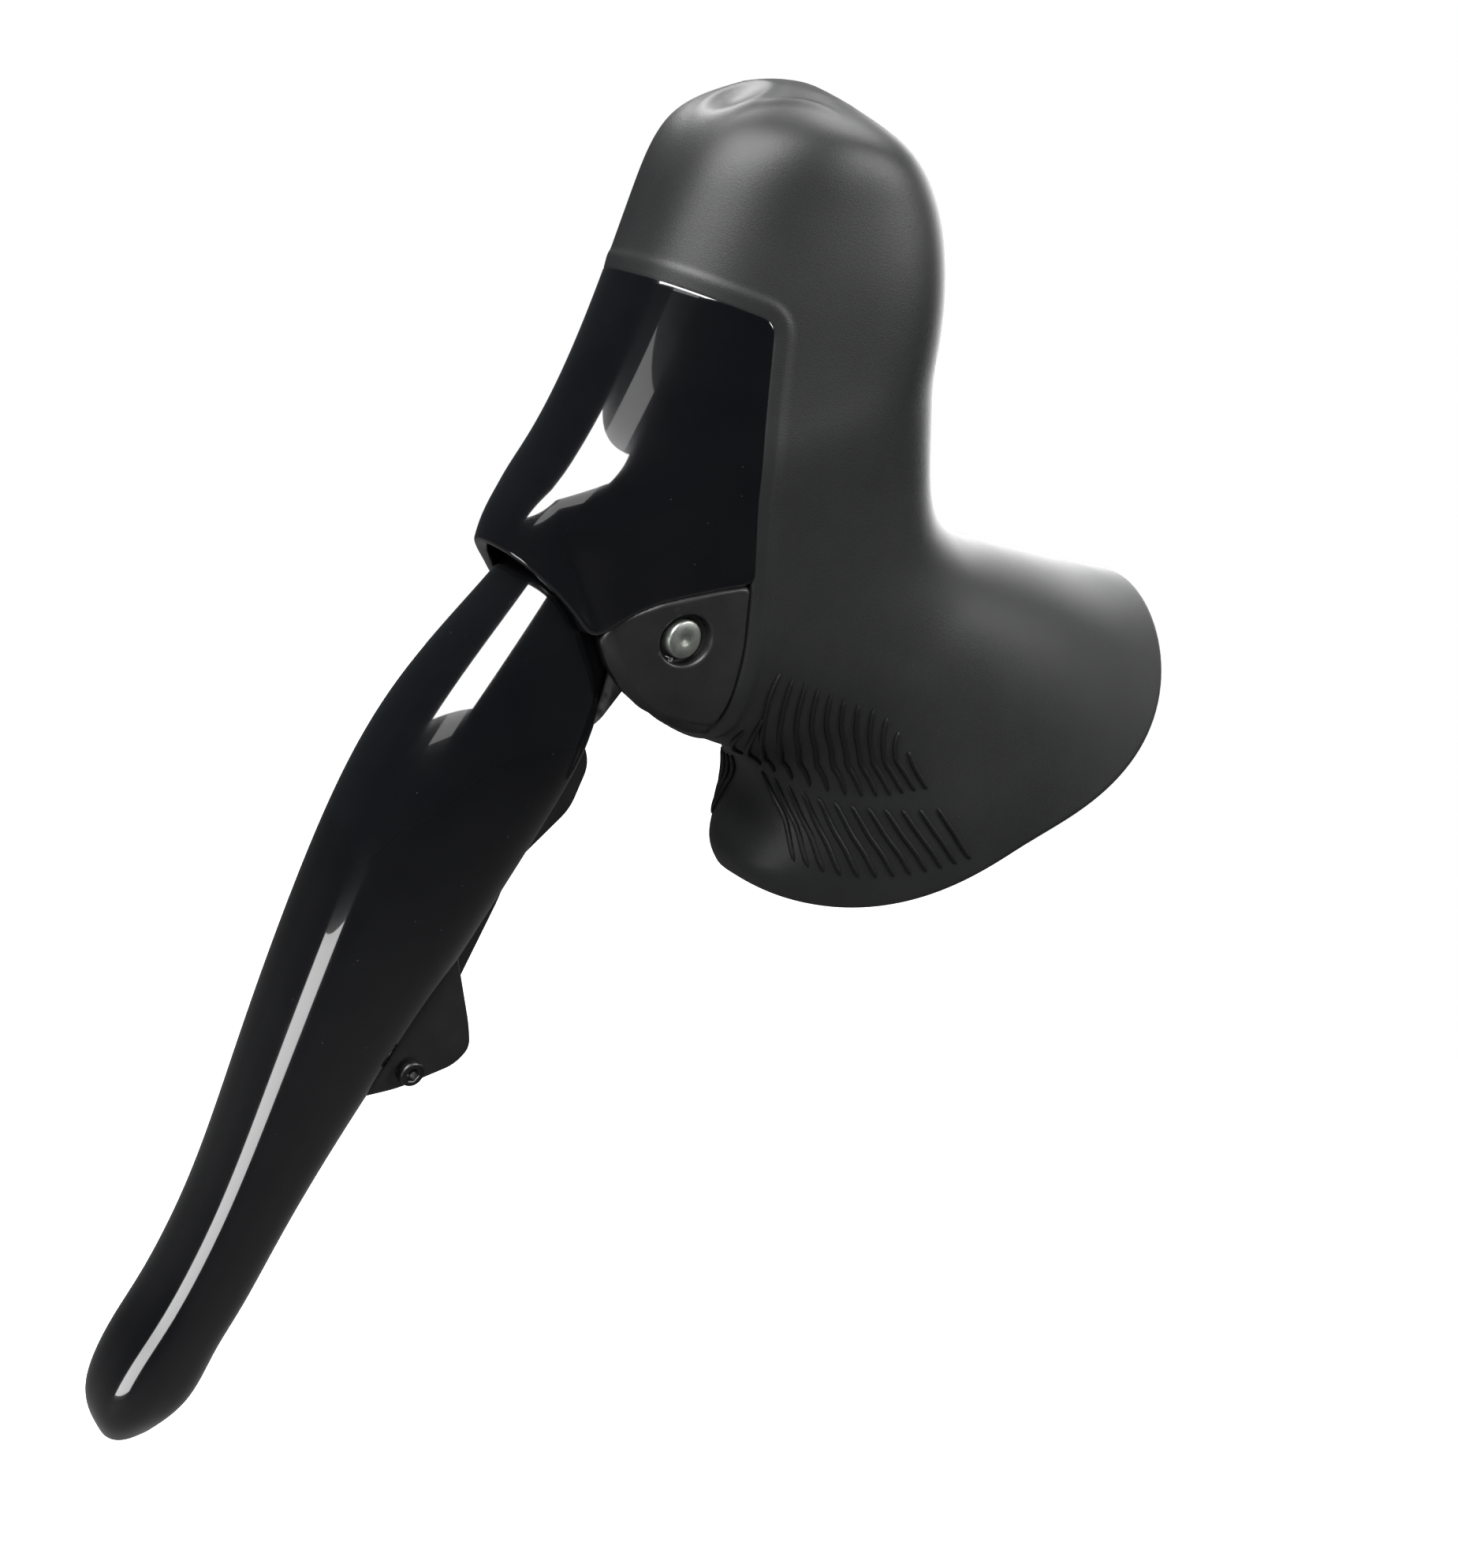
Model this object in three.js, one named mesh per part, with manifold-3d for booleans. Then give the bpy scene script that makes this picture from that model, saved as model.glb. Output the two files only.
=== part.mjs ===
import * as THREE from 'three';
import { mergeVertices } from 'three/addons/utils/BufferGeometryUtils.js';
import Module from 'manifold-3d';

const wasm = await Module();
wasm.setup();

// Overall sizes, mm. Origin: centre of the handlebar in the clamp. +Z up, -Y forward, +X inner side.
const bodyWidth = 30.2;
const hornHeight = 74.6;
const bladeLength = 113;
const barDiameter = 23.8;
const bendRadius = 55;
const bendAngle = THREE.MathUtils.degToRad(50);

// Walls and fits
const hoodWall = 2.2;
const coverWall = 1.8;
const bladeWall = 2.0;
const gap = 0.3;
const barFit = 0.25;
const slideFit = 0.08;
const panelGap = 0.35;

// Lever pivot
const axleY = -55;
const axleZ = 11;
const axleDiameter = 5;
const bushWall = 1.1;
const bushFlange = 0.5;
const slotHalf = 9.6 * bodyWidth / 30.2;
const bossHalf = slotHalf - bushFlange - 2 * slideFit - 0.1;

// Master cylinder and push rod
const boreDiameter = 10;
const boreY = -44;
const boreFloor = 22;
const rodDiameter = 3;
const cupOffset = 11;

// Strap and its bolt
const strapWidth = 11;
const strapThickness = 1.5;
const boltDiameter = 5;
const boltX = -8.3;

// Cell, board and shift switches
const cellDiameter = 16;
const cellThickness = 3.2;
const boardThickness = 1.2;

const ringCount = 32;
const formRings = 26;
const bladeRings = 24;
const widthScale = bodyWidth / 30.2;
const hornStretch = (hornHeight - 20) / 54.6;
const barGrowth = (barDiameter - 23.8) / 2;

// Heights above the pivot block follow the horn height.
function lift(z) {
  return z > 20 ? 20 + (z - 20) * hornStretch : z;
}

// Heights down the blade follow the blade length.
function drop(z) {
  return z > 0 ? z : z * (bladeLength - axleZ) / 102;
}

// Outer form of the grip from the rear rim to the top of the horn. Each station is a ring:
// top and bottom points in the side view, half width, side bulge, corner power, front taper, rear spread.
const formStations = [
  [31.5, 35.8, -22, -20.0, 20.0, 5.0, -10.5, 2.2, 0.10, 15, -4],
  [23, 35.0, -24.4, -16.4, 19.0, 3.5, -7, 2.3, 0.10, 10, -3],
  [10, 34.0, -23.9, -9.8, 17.6, 1.2, -3, 2.4, 0.06, 4, 0],
  [-2, 33.3, -28.3, -3.8, 16.6, 0, 0, 2.4, 0.0, 0, 0],
  [-10, 33.6, -36.6, -2.2, 16.0, 0, 0, 2.5, 0.03, 0, 0],
  [-17, 35.5, -46, -1.5, 15.6, 0, 0, 2.8, 0.06, 0, 0],
  [-22, 40, -57.5, -1, 15.3, 0, 0, 3.1, 0.12, 0, 0],
  [-25, 46, -68.6, 6, 15.1, 0, 0, 3.0, 0.20, 0, 0],
  [-27, 51.0, -75.6, 15.6, 15.1, 0, 0, 2.7, 0.28, 0, 0],
  [-28.5, 55, -73.8, 25, 15.1, 0, 0, 2.7, 0.28, 0, 0],
  [-30.5, 60, -71.4, 35, 15.2, 0, 0, 2.7, 0.26, 0, 0],
  [-33, 65.0, -70.2, 46, 15.2, 0, 0, 2.6, 0.22, 0, 0],
  [-36.5, 69.5, -69.5, 57, 14.8, 0, 0, 2.5, 0.16, 0, 0],
  [-42, 73.0, -67.5, 66.5, 13.2, 0, 0, 2.3, 0.08, 0, 0],
  [-49, 74.6, -61, 73.0, 7.0, 0, 0, 2.1, 0.0, 0, 0],
];

// Blade stations: front and rear points in the side view, half width, side offset.
const bladeStations = [
  [-70.6, 16.2, -57, 14.5, 6.4, 0],
  [-74.2, 8.5, -57, 2, 8, 0],
  [-79.3, -3, -57.2, -7, 9.5, -0.3],
  [-82.9, -16, -60, -18, 9.6, -0.5],
  [-84.3, -32, -64.6, -34, 9.15, -1.15],
  [-84.7, -50, -69.6, -51, 8.15, -2.05],
  [-85.2, -68, -73.9, -68, 7, -2.7],
  [-86.8, -82, -75.9, -80.5, 6.8, -3.8],
  [-88.6, -90, -77.3, -88, 6.8, -4.6],
  [-89.4, -97.5, -78.2, -94.7, 6.2, -5.1],
  [-87.2, -102.1, -80.6, -99.6, 3.9, -5.4],
];

function sampler(stations) {
  const size = stations[0].length;
  const times = stations.map((station, i) => i / (stations.length - 1));
  const curve = new THREE.CubicInterpolant(times, stations.flat(), size);
  return (t) => Array.from(curve.evaluate(t));
}

const formAt = sampler(formStations);
const bladeAt = sampler(bladeStations);

function squared(value, power) {
  return Math.sign(value) * Math.abs(value) ** (2 / power);
}

// The grip widens round the clamp with the bar and keeps its width at the pivot.
function besideBar(t) {
  return barGrowth * THREE.MathUtils.clamp((0.43 - t) / 0.2, 0, 1);
}

function formPoint(t, angle) {
  const [topY, topZ, lowY, lowZ, half, sideY, sideZ, power, taper, rearY, rearZ] = formAt(t);
  const c = squared(Math.cos(angle), power);
  const s = squared(Math.sin(angle), power);
  const side = s * s;
  const rear = side * Math.max(c, 0);
  const y = (topY + lowY) / 2 + (topY - lowY) / 2 * c + sideY * side + rearY * rear;
  const z = (topZ + lowZ) / 2 + (topZ - lowZ) / 2 * c + sideZ * side + rearZ * rear;
  const reach = half * widthScale + besideBar(t);
  return new THREE.Vector3(reach * s * (1 + taper * c), y, lift(z));
}

function bladePoint(t, angle) {
  const [frontY, frontZ, rearY, rearZ, half, shift] = bladeAt(t);
  const c = squared(Math.cos(angle), 2.7);
  const s = squared(Math.sin(angle), 2.7);
  const y = (frontY + rearY) / 2 + (frontY - rearY) / 2 * c;
  const z = (frontZ + rearZ) / 2 + (frontZ - rearZ) / 2 * c;
  return new THREE.Vector3(shift + half * widthScale * s, y, drop(z));
}

// Rings of a surface moved inwards along its own normal.
function insetRings(point, from, to, rings, inset) {
  const step = 0.004;
  const out = [];
  for (let r = 0; r <= rings; r++) {
    const t = from + (to - from) * r / rings;
    const ring = [];
    for (let k = 0; k < ringCount; k++) {
      const angle = (k + 0.5) / ringCount * Math.PI * 2;
      const here = point(t, angle);
      const low = point(Math.max(t - step, 0), angle);
      const along = point(Math.min(t + step, 1), angle).sub(low);
      const around = point(t, angle + 0.05).sub(point(t, angle - 0.05));
      const normal = along.cross(around).normalize();
      const outward = here.clone().sub(point(t, angle + Math.PI));
      const sign = Math.sign(normal.dot(outward)) || 1;
      ring.push(here.addScaledVector(normal, -sign * inset));
    }
    out.push(ring);
  }
  return out;
}

// Carries the first ring on past the opening, so a cut leaves no skin there.
function pastRim(rings, distance) {
  const [first, second] = rings;
  const extra = first.map((p, k) => {
    const away = p.clone().sub(second[k]).normalize();
    return p.clone().addScaledVector(away, distance);
  });
  return [extra, ...rings];
}

function toManifold(points, index) {
  let volume = 0;
  for (let i = 0; i < index.length; i += 3) {
    const a = points[index[i]];
    const b = points[index[i + 1]];
    const c = points[index[i + 2]];
    volume += a.dot(b.clone().cross(c));
  }
  const faces = Uint32Array.from(index);
  if (volume < 0) {
    faces.reverse();
  }
  const flat = Float32Array.from(points.flatMap((p) => p.toArray()));
  return new wasm.Manifold(new wasm.Mesh({ numProp: 3, vertProperties: flat, triVerts: faces }));
}

function loft(rings) {
  const count = rings[0].length;
  const points = rings.flat();
  const index = [];
  for (let r = 0; r + 1 < rings.length; r++) {
    for (let k = 0; k < count; k++) {
      const a = r * count + k;
      const b = r * count + (k + 1) % count;
      index.push(a, b, b + count, a, b + count, a + count);
    }
  }
  const last = (rings.length - 1) * count;
  const start = points.length;
  const mean = (ring) => ring.reduce((sum, p) => sum.add(p), new THREE.Vector3()).divideScalar(count);
  points.push(mean(rings[0]), mean(rings.at(-1)));
  for (let k = 0; k < count; k++) {
    const next = (k + 1) % count;
    index.push(next, k, start);
    index.push(last + k, last + next, start + 1);
  }
  return toManifold(points, index);
}

function fromGeometry(geometry) {
  const bare = new THREE.BufferGeometry();
  bare.setAttribute('position', geometry.getAttribute('position'));
  bare.setIndex(geometry.getIndex());
  const merged = mergeVertices(bare, 1e-4);
  const position = merged.getAttribute('position');
  const points = [];
  for (let i = 0; i < position.count; i++) {
    points.push(new THREE.Vector3().fromBufferAttribute(position, i));
  }
  const index = [];
  const all = merged.getIndex().array;
  for (let i = 0; i < all.length; i += 3) {
    const [a, b, c] = [all[i], all[i + 1], all[i + 2]];
    if (a !== b && b !== c && a !== c) {
      index.push(a, b, c);
    }
  }
  return toManifold(points, index);
}

const sideUp = new THREE.Vector3(1, 0, 0);
const upward = new THREE.Vector3(0, 0, 1);

// Turns a solid drawn about +Y so that it points along a direction from an origin.
function aimed(geometry, origin, direction) {
  const turn = new THREE.Quaternion().setFromUnitVectors(new THREE.Vector3(0, 1, 0), direction);
  geometry.applyQuaternion(turn);
  geometry.translate(origin.x, origin.y, origin.z);
  return fromGeometry(geometry);
}

function rod(origin, direction, radius, start, end, sides = 20) {
  const shape = new THREE.CylinderGeometry(radius, radius, end - start, sides);
  shape.translate(0, (start + end) / 2, 0);
  return aimed(shape, origin, direction);
}

// Turned piece. The profile lists radius and distance along the axis, ending where it began.
function turned(origin, direction, profile, sides = 20) {
  const outline = profile.map(([r, h]) => new THREE.Vector2(r, h));
  outline.push(outline[0].clone());
  return aimed(new THREE.LatheGeometry(outline, sides), origin, direction);
}

function block(x0, x1, y0, y1, z0, z1) {
  const box = new THREE.BoxGeometry(x1 - x0, y1 - y0, z1 - z0);
  box.translate((x0 + x1) / 2, (y0 + y1) / 2, (z0 + z1) / 2);
  return fromGeometry(box);
}

function roundedShape(points, radius) {
  const shape = new THREE.Shape();
  points.forEach(([x, y], i) => {
    const corner = new THREE.Vector2(x, y);
    const before = new THREE.Vector2(...points.at(i - 1)).sub(corner);
    const after = new THREE.Vector2(...points[(i + 1) % points.length]).sub(corner);
    const cut = Math.min(radius, before.length() / 2.2, after.length() / 2.2);
    const start = corner.clone().addScaledVector(before.normalize(), cut);
    const end = corner.clone().addScaledVector(after.normalize(), cut);
    if (i === 0) {
      shape.moveTo(start.x, start.y);
    } else {
      shape.lineTo(start.x, start.y);
    }
    if (cut > 0) {
      shape.quadraticCurveTo(corner.x, corner.y, end.x, end.y);
    }
  });
  shape.closePath();
  return shape;
}

// Plate drawn in the side view and made thick across the lever.
function sidePlate(points, x0, x1, radius = 0) {
  const shape = roundedShape(points, radius);
  const plate = new THREE.ExtrudeGeometry(shape, { depth: x1 - x0, bevelEnabled: false, curveSegments: 4 });
  const turn = new THREE.Matrix4().makeBasis(
    new THREE.Vector3(0, 1, 0), new THREE.Vector3(0, 0, 1), new THREE.Vector3(1, 0, 0));
  plate.applyMatrix4(turn);
  plate.translate(x0, 0, 0);
  return fromGeometry(plate);
}

function sweep(path, radius, steps, sides = 8) {
  const frames = path.computeFrenetFrames(steps, false);
  const rings = [];
  for (let i = 0; i <= steps; i++) {
    const centre = path.getPointAt(i / steps);
    const ring = [];
    for (let k = 0; k < sides; k++) {
      const angle = k / sides * Math.PI * 2;
      const p = centre.clone();
      p.addScaledVector(frames.normals[i], Math.cos(angle) * radius);
      p.addScaledVector(frames.binormals[i], Math.sin(angle) * radius);
      ring.push(p);
    }
    rings.push(ring);
  }
  return loft(rings);
}

// Directions at the clamp: along the bar, out of the bend, and the point at (across, along, out).
const barwise = new THREE.Vector3(0, Math.cos(bendAngle), Math.sin(bendAngle));
const outOfBend = new THREE.Vector3(0, -Math.sin(bendAngle), Math.cos(bendAngle));
const bendCentre = outOfBend.clone().multiplyScalar(-bendRadius);

function atClamp(x, along, out) {
  return new THREE.Vector3(x, 0, 0).addScaledVector(barwise, along).addScaledVector(outOfBend, out);
}

function clampBox(x0, x1, along0, along1, out0, out1) {
  const box = new THREE.BoxGeometry(x1 - x0, along1 - along0, out1 - out0);
  box.translate((x0 + x1) / 2, (along0 + along1) / 2, (out0 + out1) / 2);
  box.applyMatrix4(new THREE.Matrix4().makeBasis(sideUp, barwise, outOfBend));
  return fromGeometry(box);
}

function barTube(radius, before, after) {
  const rings = [];
  for (let i = 0; i <= 16; i++) {
    const angle = bendAngle - (before + (after - before) * i / 16) / bendRadius;
    const out = new THREE.Vector3(0, -Math.sin(angle), Math.cos(angle));
    const centre = bendCentre.clone().addScaledVector(out, bendRadius);
    const ring = [];
    for (let k = 0; k < 32; k++) {
      const turn = k / 32 * Math.PI * 2;
      const p = centre.clone().addScaledVector(out, Math.cos(turn) * radius);
      ring.push(p.addScaledVector(sideUp, Math.sin(turn) * radius));
    }
    rings.push(ring);
  }
  return loft(rings);
}

const group = new THREE.Group();
group.name = 'brake_shift_lever';

function add(name, solid, color, roughness, metalness) {
  const data = solid.getMesh();
  const geometry = new THREE.BufferGeometry();
  geometry.setAttribute('position', new THREE.BufferAttribute(Float32Array.from(data.vertProperties), 3));
  geometry.setIndex(new THREE.BufferAttribute(Uint32Array.from(data.triVerts), 1));
  geometry.computeVertexNormals();
  const material = new THREE.MeshStandardMaterial({ color, roughness, metalness });
  const mesh = new THREE.Mesh(geometry, material);
  mesh.name = name;
  group.add(mesh);
}

const rubber = [0x1c1d1f, 0.75, 0];
const gloss = [0x0b0b0d, 0.12, 0];
const resin = [0x202124, 0.55, 0];
const steel = [0x9a9da1, 0.35, 0.9];
const alloy = [0x55585c, 0.4, 0.8];
const seal = [0x131315, 0.8, 0];

// Side-view outlines of the pieces that meet flush in the outer form.
const openTop = lift(47.7);
const seamRear = [-49.6, 19.2];
const seamMid = [-56.7, 16.0];
const seamLow = [-61.6, 12.8];
const seamFront = [-64.9, 8.4];
const coverOutline = [
  [-95, openTop], [-58.7, openTop], [-57.5, lift(43.5)], [-55.1, lift(34.5)], [-53.3, lift(28.5)],
  [-49.9, 19.8], [-56.8, 16.5], [-62, 13.2], [-65.4, 8.9], [-70.4, 12.5], [-77, 15.8], [-95, 16.2],
];
const frontOpening = [
  [-95, openTop + panelGap], [-58.1, openTop + panelGap], [-56.9, lift(43.5)], [-54.5, lift(34.5)],
  [-52.7, lift(28.5)], [-49.0, 19.4], [-46.4, 12], [-45, 6], [-42.6, -1], [-42, -12], [-95, -12],
];
const earOutline = [
  seamRear, seamMid, seamLow, seamFront, [-62.4, 5.2], [-59, 2.9], [-55.2, 1.2], [-50, 0.4],
  [-44.2, 1.0], [-45.6, 6], [-47.0, 12],
];

const formOuter = loft(insetRings(formPoint, 0, 1, formRings, 0));
const hoodInner = loft(pastRim(insetRings(formPoint, 0, 0.985, formRings, hoodWall), 8));
const coreForm = loft(pastRim(insetRings(formPoint, 0, 0.98, formRings, hoodWall + gap), 8));
const coverInner = loft(insetRings(formPoint, 0.2, 0.98, formRings, coverWall));
const wide = bodyWidth;

// Rubber hood
const opening = sidePlate(frontOpening, -wide, wide, 2);
add('hood', formOuter.subtract(hoodInner).subtract(opening), ...rubber);

// Blade solid, the room it needs under the cover lip, and the channel open at its back
const bladeOuter = loft(insetRings(bladePoint, 0, 1, bladeRings, 0));
const bladeRoom = loft(insetRings(bladePoint, 0, 0.5, bladeRings / 2, -0.6));

function channel(wall, from, to) {
  const rings = [];
  for (let r = 0; r <= 14; r++) {
    const t = from + (to - from) * r / 14;
    const [frontY, frontZ, rearY, rearZ, half, shift] = bladeAt(t);
    const front = frontY + wall;
    const rear = rearY + 10;
    const slope = (rearZ - frontZ) / (rearY - frontY);
    const ring = [];
    for (let k = 0; k < ringCount; k++) {
      const angle = (k + 0.5) / ringCount * Math.PI * 2;
      const c = squared(Math.cos(angle), 3.2);
      const s = squared(Math.sin(angle), 3.2);
      const y = (front + rear) / 2 + (front - rear) / 2 * c;
      const z = frontZ + (y - frontY) * slope;
      ring.push(new THREE.Vector3(shift + (half * widthScale - wall) * s, y, drop(z)));
    }
    rings.push(ring);
  }
  return loft(rings);
}

// Gloss front cover
const coverCut = sidePlate(coverOutline, -wide, wide, 1);
add('front_cover', formOuter.intersect(coverCut).subtract(coverInner).subtract(bladeRoom), ...gloss);

// Pivot hardware
const axleAt = new THREE.Vector3(0, axleY, axleZ);
const axleRadius = axleDiameter / 2;
const axleHalf = 12.2 * widthScale;
const bushOuter = axleRadius + slideFit + bushWall;
const flangeRadius = bushOuter + 1.4;
const bushInnerEnd = 4.6;

// Bracket: core under the hood, ears flush with the cover, then everything cut out of it
const coreOutline = [
  [9.6, 11.5], [-13.4, 30.8], [-20, lift(50)], [-20, lift(90)], [-95, lift(90)],
  [-95, -9], [-30.6, -9], [-10.9, -13],
];
const ears = formOuter.intersect(sidePlate(earOutline, -wide, wide, 1));
const slot = block(-slotHalf, slotHalf, -95, -37.5, -12, boreFloor);
const frontRelief = sidePlate([[-95, boreFloor], [-66, boreFloor], [-66, -12], [-95, -12]], -wide, wide);
const belowSeam = sidePlate(
  [[-95, 14], [-66.2, 9.9], [-57.5, 15.7], [-57.4, 2.5], [-60, -12], [-95, -12]], -wide, wide);
let bracket = coreForm.intersect(sidePlate(coreOutline, -wide, wide, 1));
bracket = bracket.subtract(frontRelief).subtract(belowSeam);
bracket = bracket.add(ears);
bracket = bracket.subtract(slot);
const bendInside = rod(bendCentre, sideUp, bendRadius + 4, -wide, wide, 96);
const barRadius = barDiameter / 2;
bracket = bracket.subtract(bendInside);
bracket = bracket.subtract(barTube(barRadius + barFit, -45, 45));
bracket = bracket.subtract(rod(axleAt, sideUp, axleRadius + gap, -wide, wide));
const axleRecess = axleRadius + 0.9;
bracket = bracket.subtract(rod(axleAt, sideUp, axleRecess, axleHalf - 0.9, wide));
bracket = bracket.subtract(rod(axleAt, sideUp, axleRecess, -wide, 0.9 - axleHalf));

// Master cylinder bore, open at the slot
const boreAt = new THREE.Vector3(0, boreY, boreFloor);
const boreRadius = boreDiameter / 2;
const boreDepth = lift(58) - boreFloor;
bracket = bracket.subtract(rod(boreAt, upward, boreRadius, -2, boreDepth, 32));

// Fluid reservoir pocket, open at the front, with a wider recess for its lid
const forward = new THREE.Vector3(0, -1, 0);
const backward = new THREE.Vector3(0, 1, 0);
const tankHalf = 6.8 * widthScale;
const tankLow = lift(33);
const tankHigh = lift(50);
const tankBack = boreY - boreRadius - 2.2;
const lidFace = -65.9;
const lidThickness = 1.5;
const lidMargin = 4;
const rimThickness = 0.8;
const lidBack = lidFace + lidThickness;
const rimBack = lidBack + rimThickness + 2 * slideFit;
const recessLow = tankLow - lidMargin;
const recessHigh = tankHigh + lidMargin;
bracket = bracket.subtract(block(-tankHalf, tankHalf, -80, tankBack, tankLow, tankHigh));
bracket = bracket.subtract(block(-wide, wide, -80, rimBack, recessLow, recessHigh));
const bagWall = 0.8;
const bagHalf = tankHalf - gap;
const bagBack = tankBack - 1.5;
const bagRim = block(-bagHalf - 0.8, bagHalf + 0.8, lidBack + slideFit, rimBack - slideFit,
  tankLow - 0.8, tankHigh + 0.8);
const bagCup = block(-bagHalf, bagHalf, lidBack + slideFit, bagBack, tankLow + gap, tankHigh - gap);
const bagRoom = block(-bagHalf + bagWall, bagHalf - bagWall, lidBack - 1, bagBack - bagWall,
  tankLow + gap + bagWall, tankHigh - gap - bagWall);
add('reservoir_diaphragm', bagCup.add(bagRim).subtract(bagRoom).intersect(coreForm), ...seal);

// Screw with a hexagon socket. Its origin is the underside of the head.
function capScrew(origin, direction, head, headHeight, shank, length, socket) {
  const profile = [
    [0, -length], [shank - 0.3, -length], [shank, -length + 0.4], [shank, 0], [head, 0],
    [head, headHeight - 0.3], [head - 0.3, headHeight], [0, headHeight],
  ];
  const body = turned(origin, direction, profile, 20);
  return body.subtract(rod(origin, direction, socket, headHeight * 0.4, headHeight + 1, 6));
}

const lidScrewRadius = 0.9;
let lid = block(-tankHalf - 2, tankHalf + 2, lidFace, lidBack, recessLow + gap, recessHigh - gap);
lid = lid.intersect(coreForm);
const lidScrewRows = [['upper', tankHigh + lidMargin / 2 + 0.3], ['lower', tankLow - lidMargin / 2 - 0.3]];
for (const [row, z] of lidScrewRows) {
  const at = new THREE.Vector3(0, lidFace - 0.05, z);
  const hole = rod(at, forward, lidScrewRadius + slideFit, -7, 5, 16);
  lid = lid.subtract(hole);
  bracket = bracket.subtract(hole);
  add(`lid_screw_${row}`, capScrew(at, forward, 1.5, 0.9, lidScrewRadius, 6, 0.75), ...steel);
}
add('reservoir_lid', lid, ...resin);

// Top button, its switch, and the bleed screw over the cylinder
const buttonAt = new THREE.Vector3(0, -55.5, lift(69.8));
const plungerRadius = 3.8;
const plungerHeight = 4.4;
const plungerStroke = 0.6;
add('top_button', turned(buttonAt, upward, [
  [0, -plungerHeight], [plungerRadius, -plungerHeight], [plungerRadius, -0.9],
  [plungerRadius - 0.9, -0.25], [plungerRadius - 2.2, 0], [0, 0],
]), ...resin);
const switchTop = -plungerHeight - plungerStroke - 0.2;
const switchHeight = 1.6;
bracket = bracket.subtract(rod(buttonAt, upward, plungerRadius + gap, switchTop - switchHeight - gap, 9));
add('top_switch', rod(buttonAt, upward, 2.6, switchTop - switchHeight, switchTop, 4), ...steel);

const bleedAt = new THREE.Vector3(0, boreY + 0.6, lift(67.2));
const bleedRadius = 2;
const bleedHead = 2.9;
const bleedHeight = 1.6;
const bleedLength = 5;
bracket = bracket.subtract(rod(bleedAt, upward, bleedHead + gap, -0.1, 12));
bracket = bracket.subtract(rod(bleedAt, upward, bleedRadius + slideFit, -12, 1));
add('bleed_screw', capScrew(bleedAt.clone().addScaledVector(upward, 0.9 + slideFit), upward,
  bleedHead, bleedHeight, bleedRadius, bleedLength, 1.25), ...steel);
const bleedRing = new THREE.TorusGeometry(bleedRadius + slideFit + 0.42, 0.4, 8, 20);
bleedRing.translate(bleedAt.x, bleedAt.y, bleedAt.z + 0.45);
add('bleed_screw_oring', fromGeometry(bleedRing), ...seal);

// Coin cell on the inner side, control board on the outer side
const cellAt = new THREE.Vector3(0, -26, 16);
const cellRadius = cellDiameter / 2;
const lidSeat = 10.9 * widthScale;
const lidFaceX = 12.2 * widthScale;
const cellLow = lidSeat - gap - cellThickness;
const cellLidRadius = cellRadius + 1.5;
bracket = bracket.subtract(rod(cellAt, sideUp, cellRadius + gap, cellLow - gap, wide, 32));
bracket = bracket.subtract(rod(cellAt, sideUp, cellLidRadius + gap, lidSeat, wide, 32));
add('coin_cell', turned(cellAt, sideUp, [
  [0, cellLow], [cellRadius - 1, cellLow], [cellRadius - 0.8, cellLow + 0.4],
  [cellRadius, cellLow + 0.4], [cellRadius, lidSeat - gap], [0, lidSeat - gap],
], 32), ...steel);
const coinSlot = block(lidFaceX - 0.5, wide, cellAt.y - 0.8, cellAt.y + 0.8, cellAt.z - 5, cellAt.z + 5);
const cellLid = rod(cellAt, sideUp, cellLidRadius, lidSeat + slideFit, lidFaceX, 32);
add('battery_cover', cellLid.subtract(coinSlot), ...resin);

const boardGreen = [0x14301f, 0.5, 0];
const boardLow = -11.6 * widthScale;
const boardTop = boardLow + boardThickness;
const boardY = -35;
const boardZ = 18;
bracket = bracket.subtract(block(-wide, boardTop + gap, boardY - 5, boardY + 11, boardZ - 7, boardZ + 9));
add('circuit_board', block(boardLow, boardTop, boardY - 4.6, boardY + 10.6,
  boardZ - 6.6, boardZ + 8.6), ...boardGreen);

// Strap round the bar, its nut and bolt
const strapInner = barRadius + barFit;
const strapOuter = strapInner + strapThickness;
const strapHalf = strapWidth / 2;
const tabLow = 17;
const tabHigh = tabLow + strapThickness;
const tabInner = 5.2;
const origin = new THREE.Vector3();
let strap = rod(origin, barwise, strapOuter, -strapHalf, strapHalf, 48);
strap = strap.subtract(rod(origin, barwise, strapInner, -strapHalf - 1, strapHalf + 1, 48));
strap = strap.subtract(clampBox(-wide, wide, -strapHalf - 1, strapHalf + 1, 0, 30));

// Across span on one side of the bar, given low end first
function span(side, near, far) {
  return side > 0 ? [near, far] : [-far, -near];
}
const armFar = strapHalf + gap;
for (const side of [-1, 1]) {
  const arm = span(side, strapInner, strapOuter);
  const tab = span(side, tabInner, strapOuter);
  const armRoom = span(side, strapInner - gap, wide);
  const tabRoom = span(side, tabInner - gap, wide);
  strap = strap.add(clampBox(...arm, -strapHalf, strapHalf, -0.2, tabHigh));
  strap = strap.add(clampBox(...tab, -strapHalf, strapHalf, tabLow, tabHigh));
  bracket = bracket.subtract(clampBox(...armRoom, -armFar, armFar, -2, tabLow));
  bracket = bracket.subtract(clampBox(...tabRoom, -armFar, armFar, tabLow - gap, tabHigh + gap));
}
const boltAt = atClamp(boltX, 0, 0);
const boltRadius = boltDiameter / 2;
const boltSeat = 23.2;
const boltHead = 3.9;
const nutLow = 13.4;
const nutHigh = tabLow - slideFit;
const nutHalf = 3.5;
const nutRoom = nutHalf + 0.8;
strap = strap.subtract(rod(boltAt, outOfBend, boltRadius + gap, nutHigh - 1, tabLow + 4));
add('clamp_band', strap, ...steel);
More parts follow.
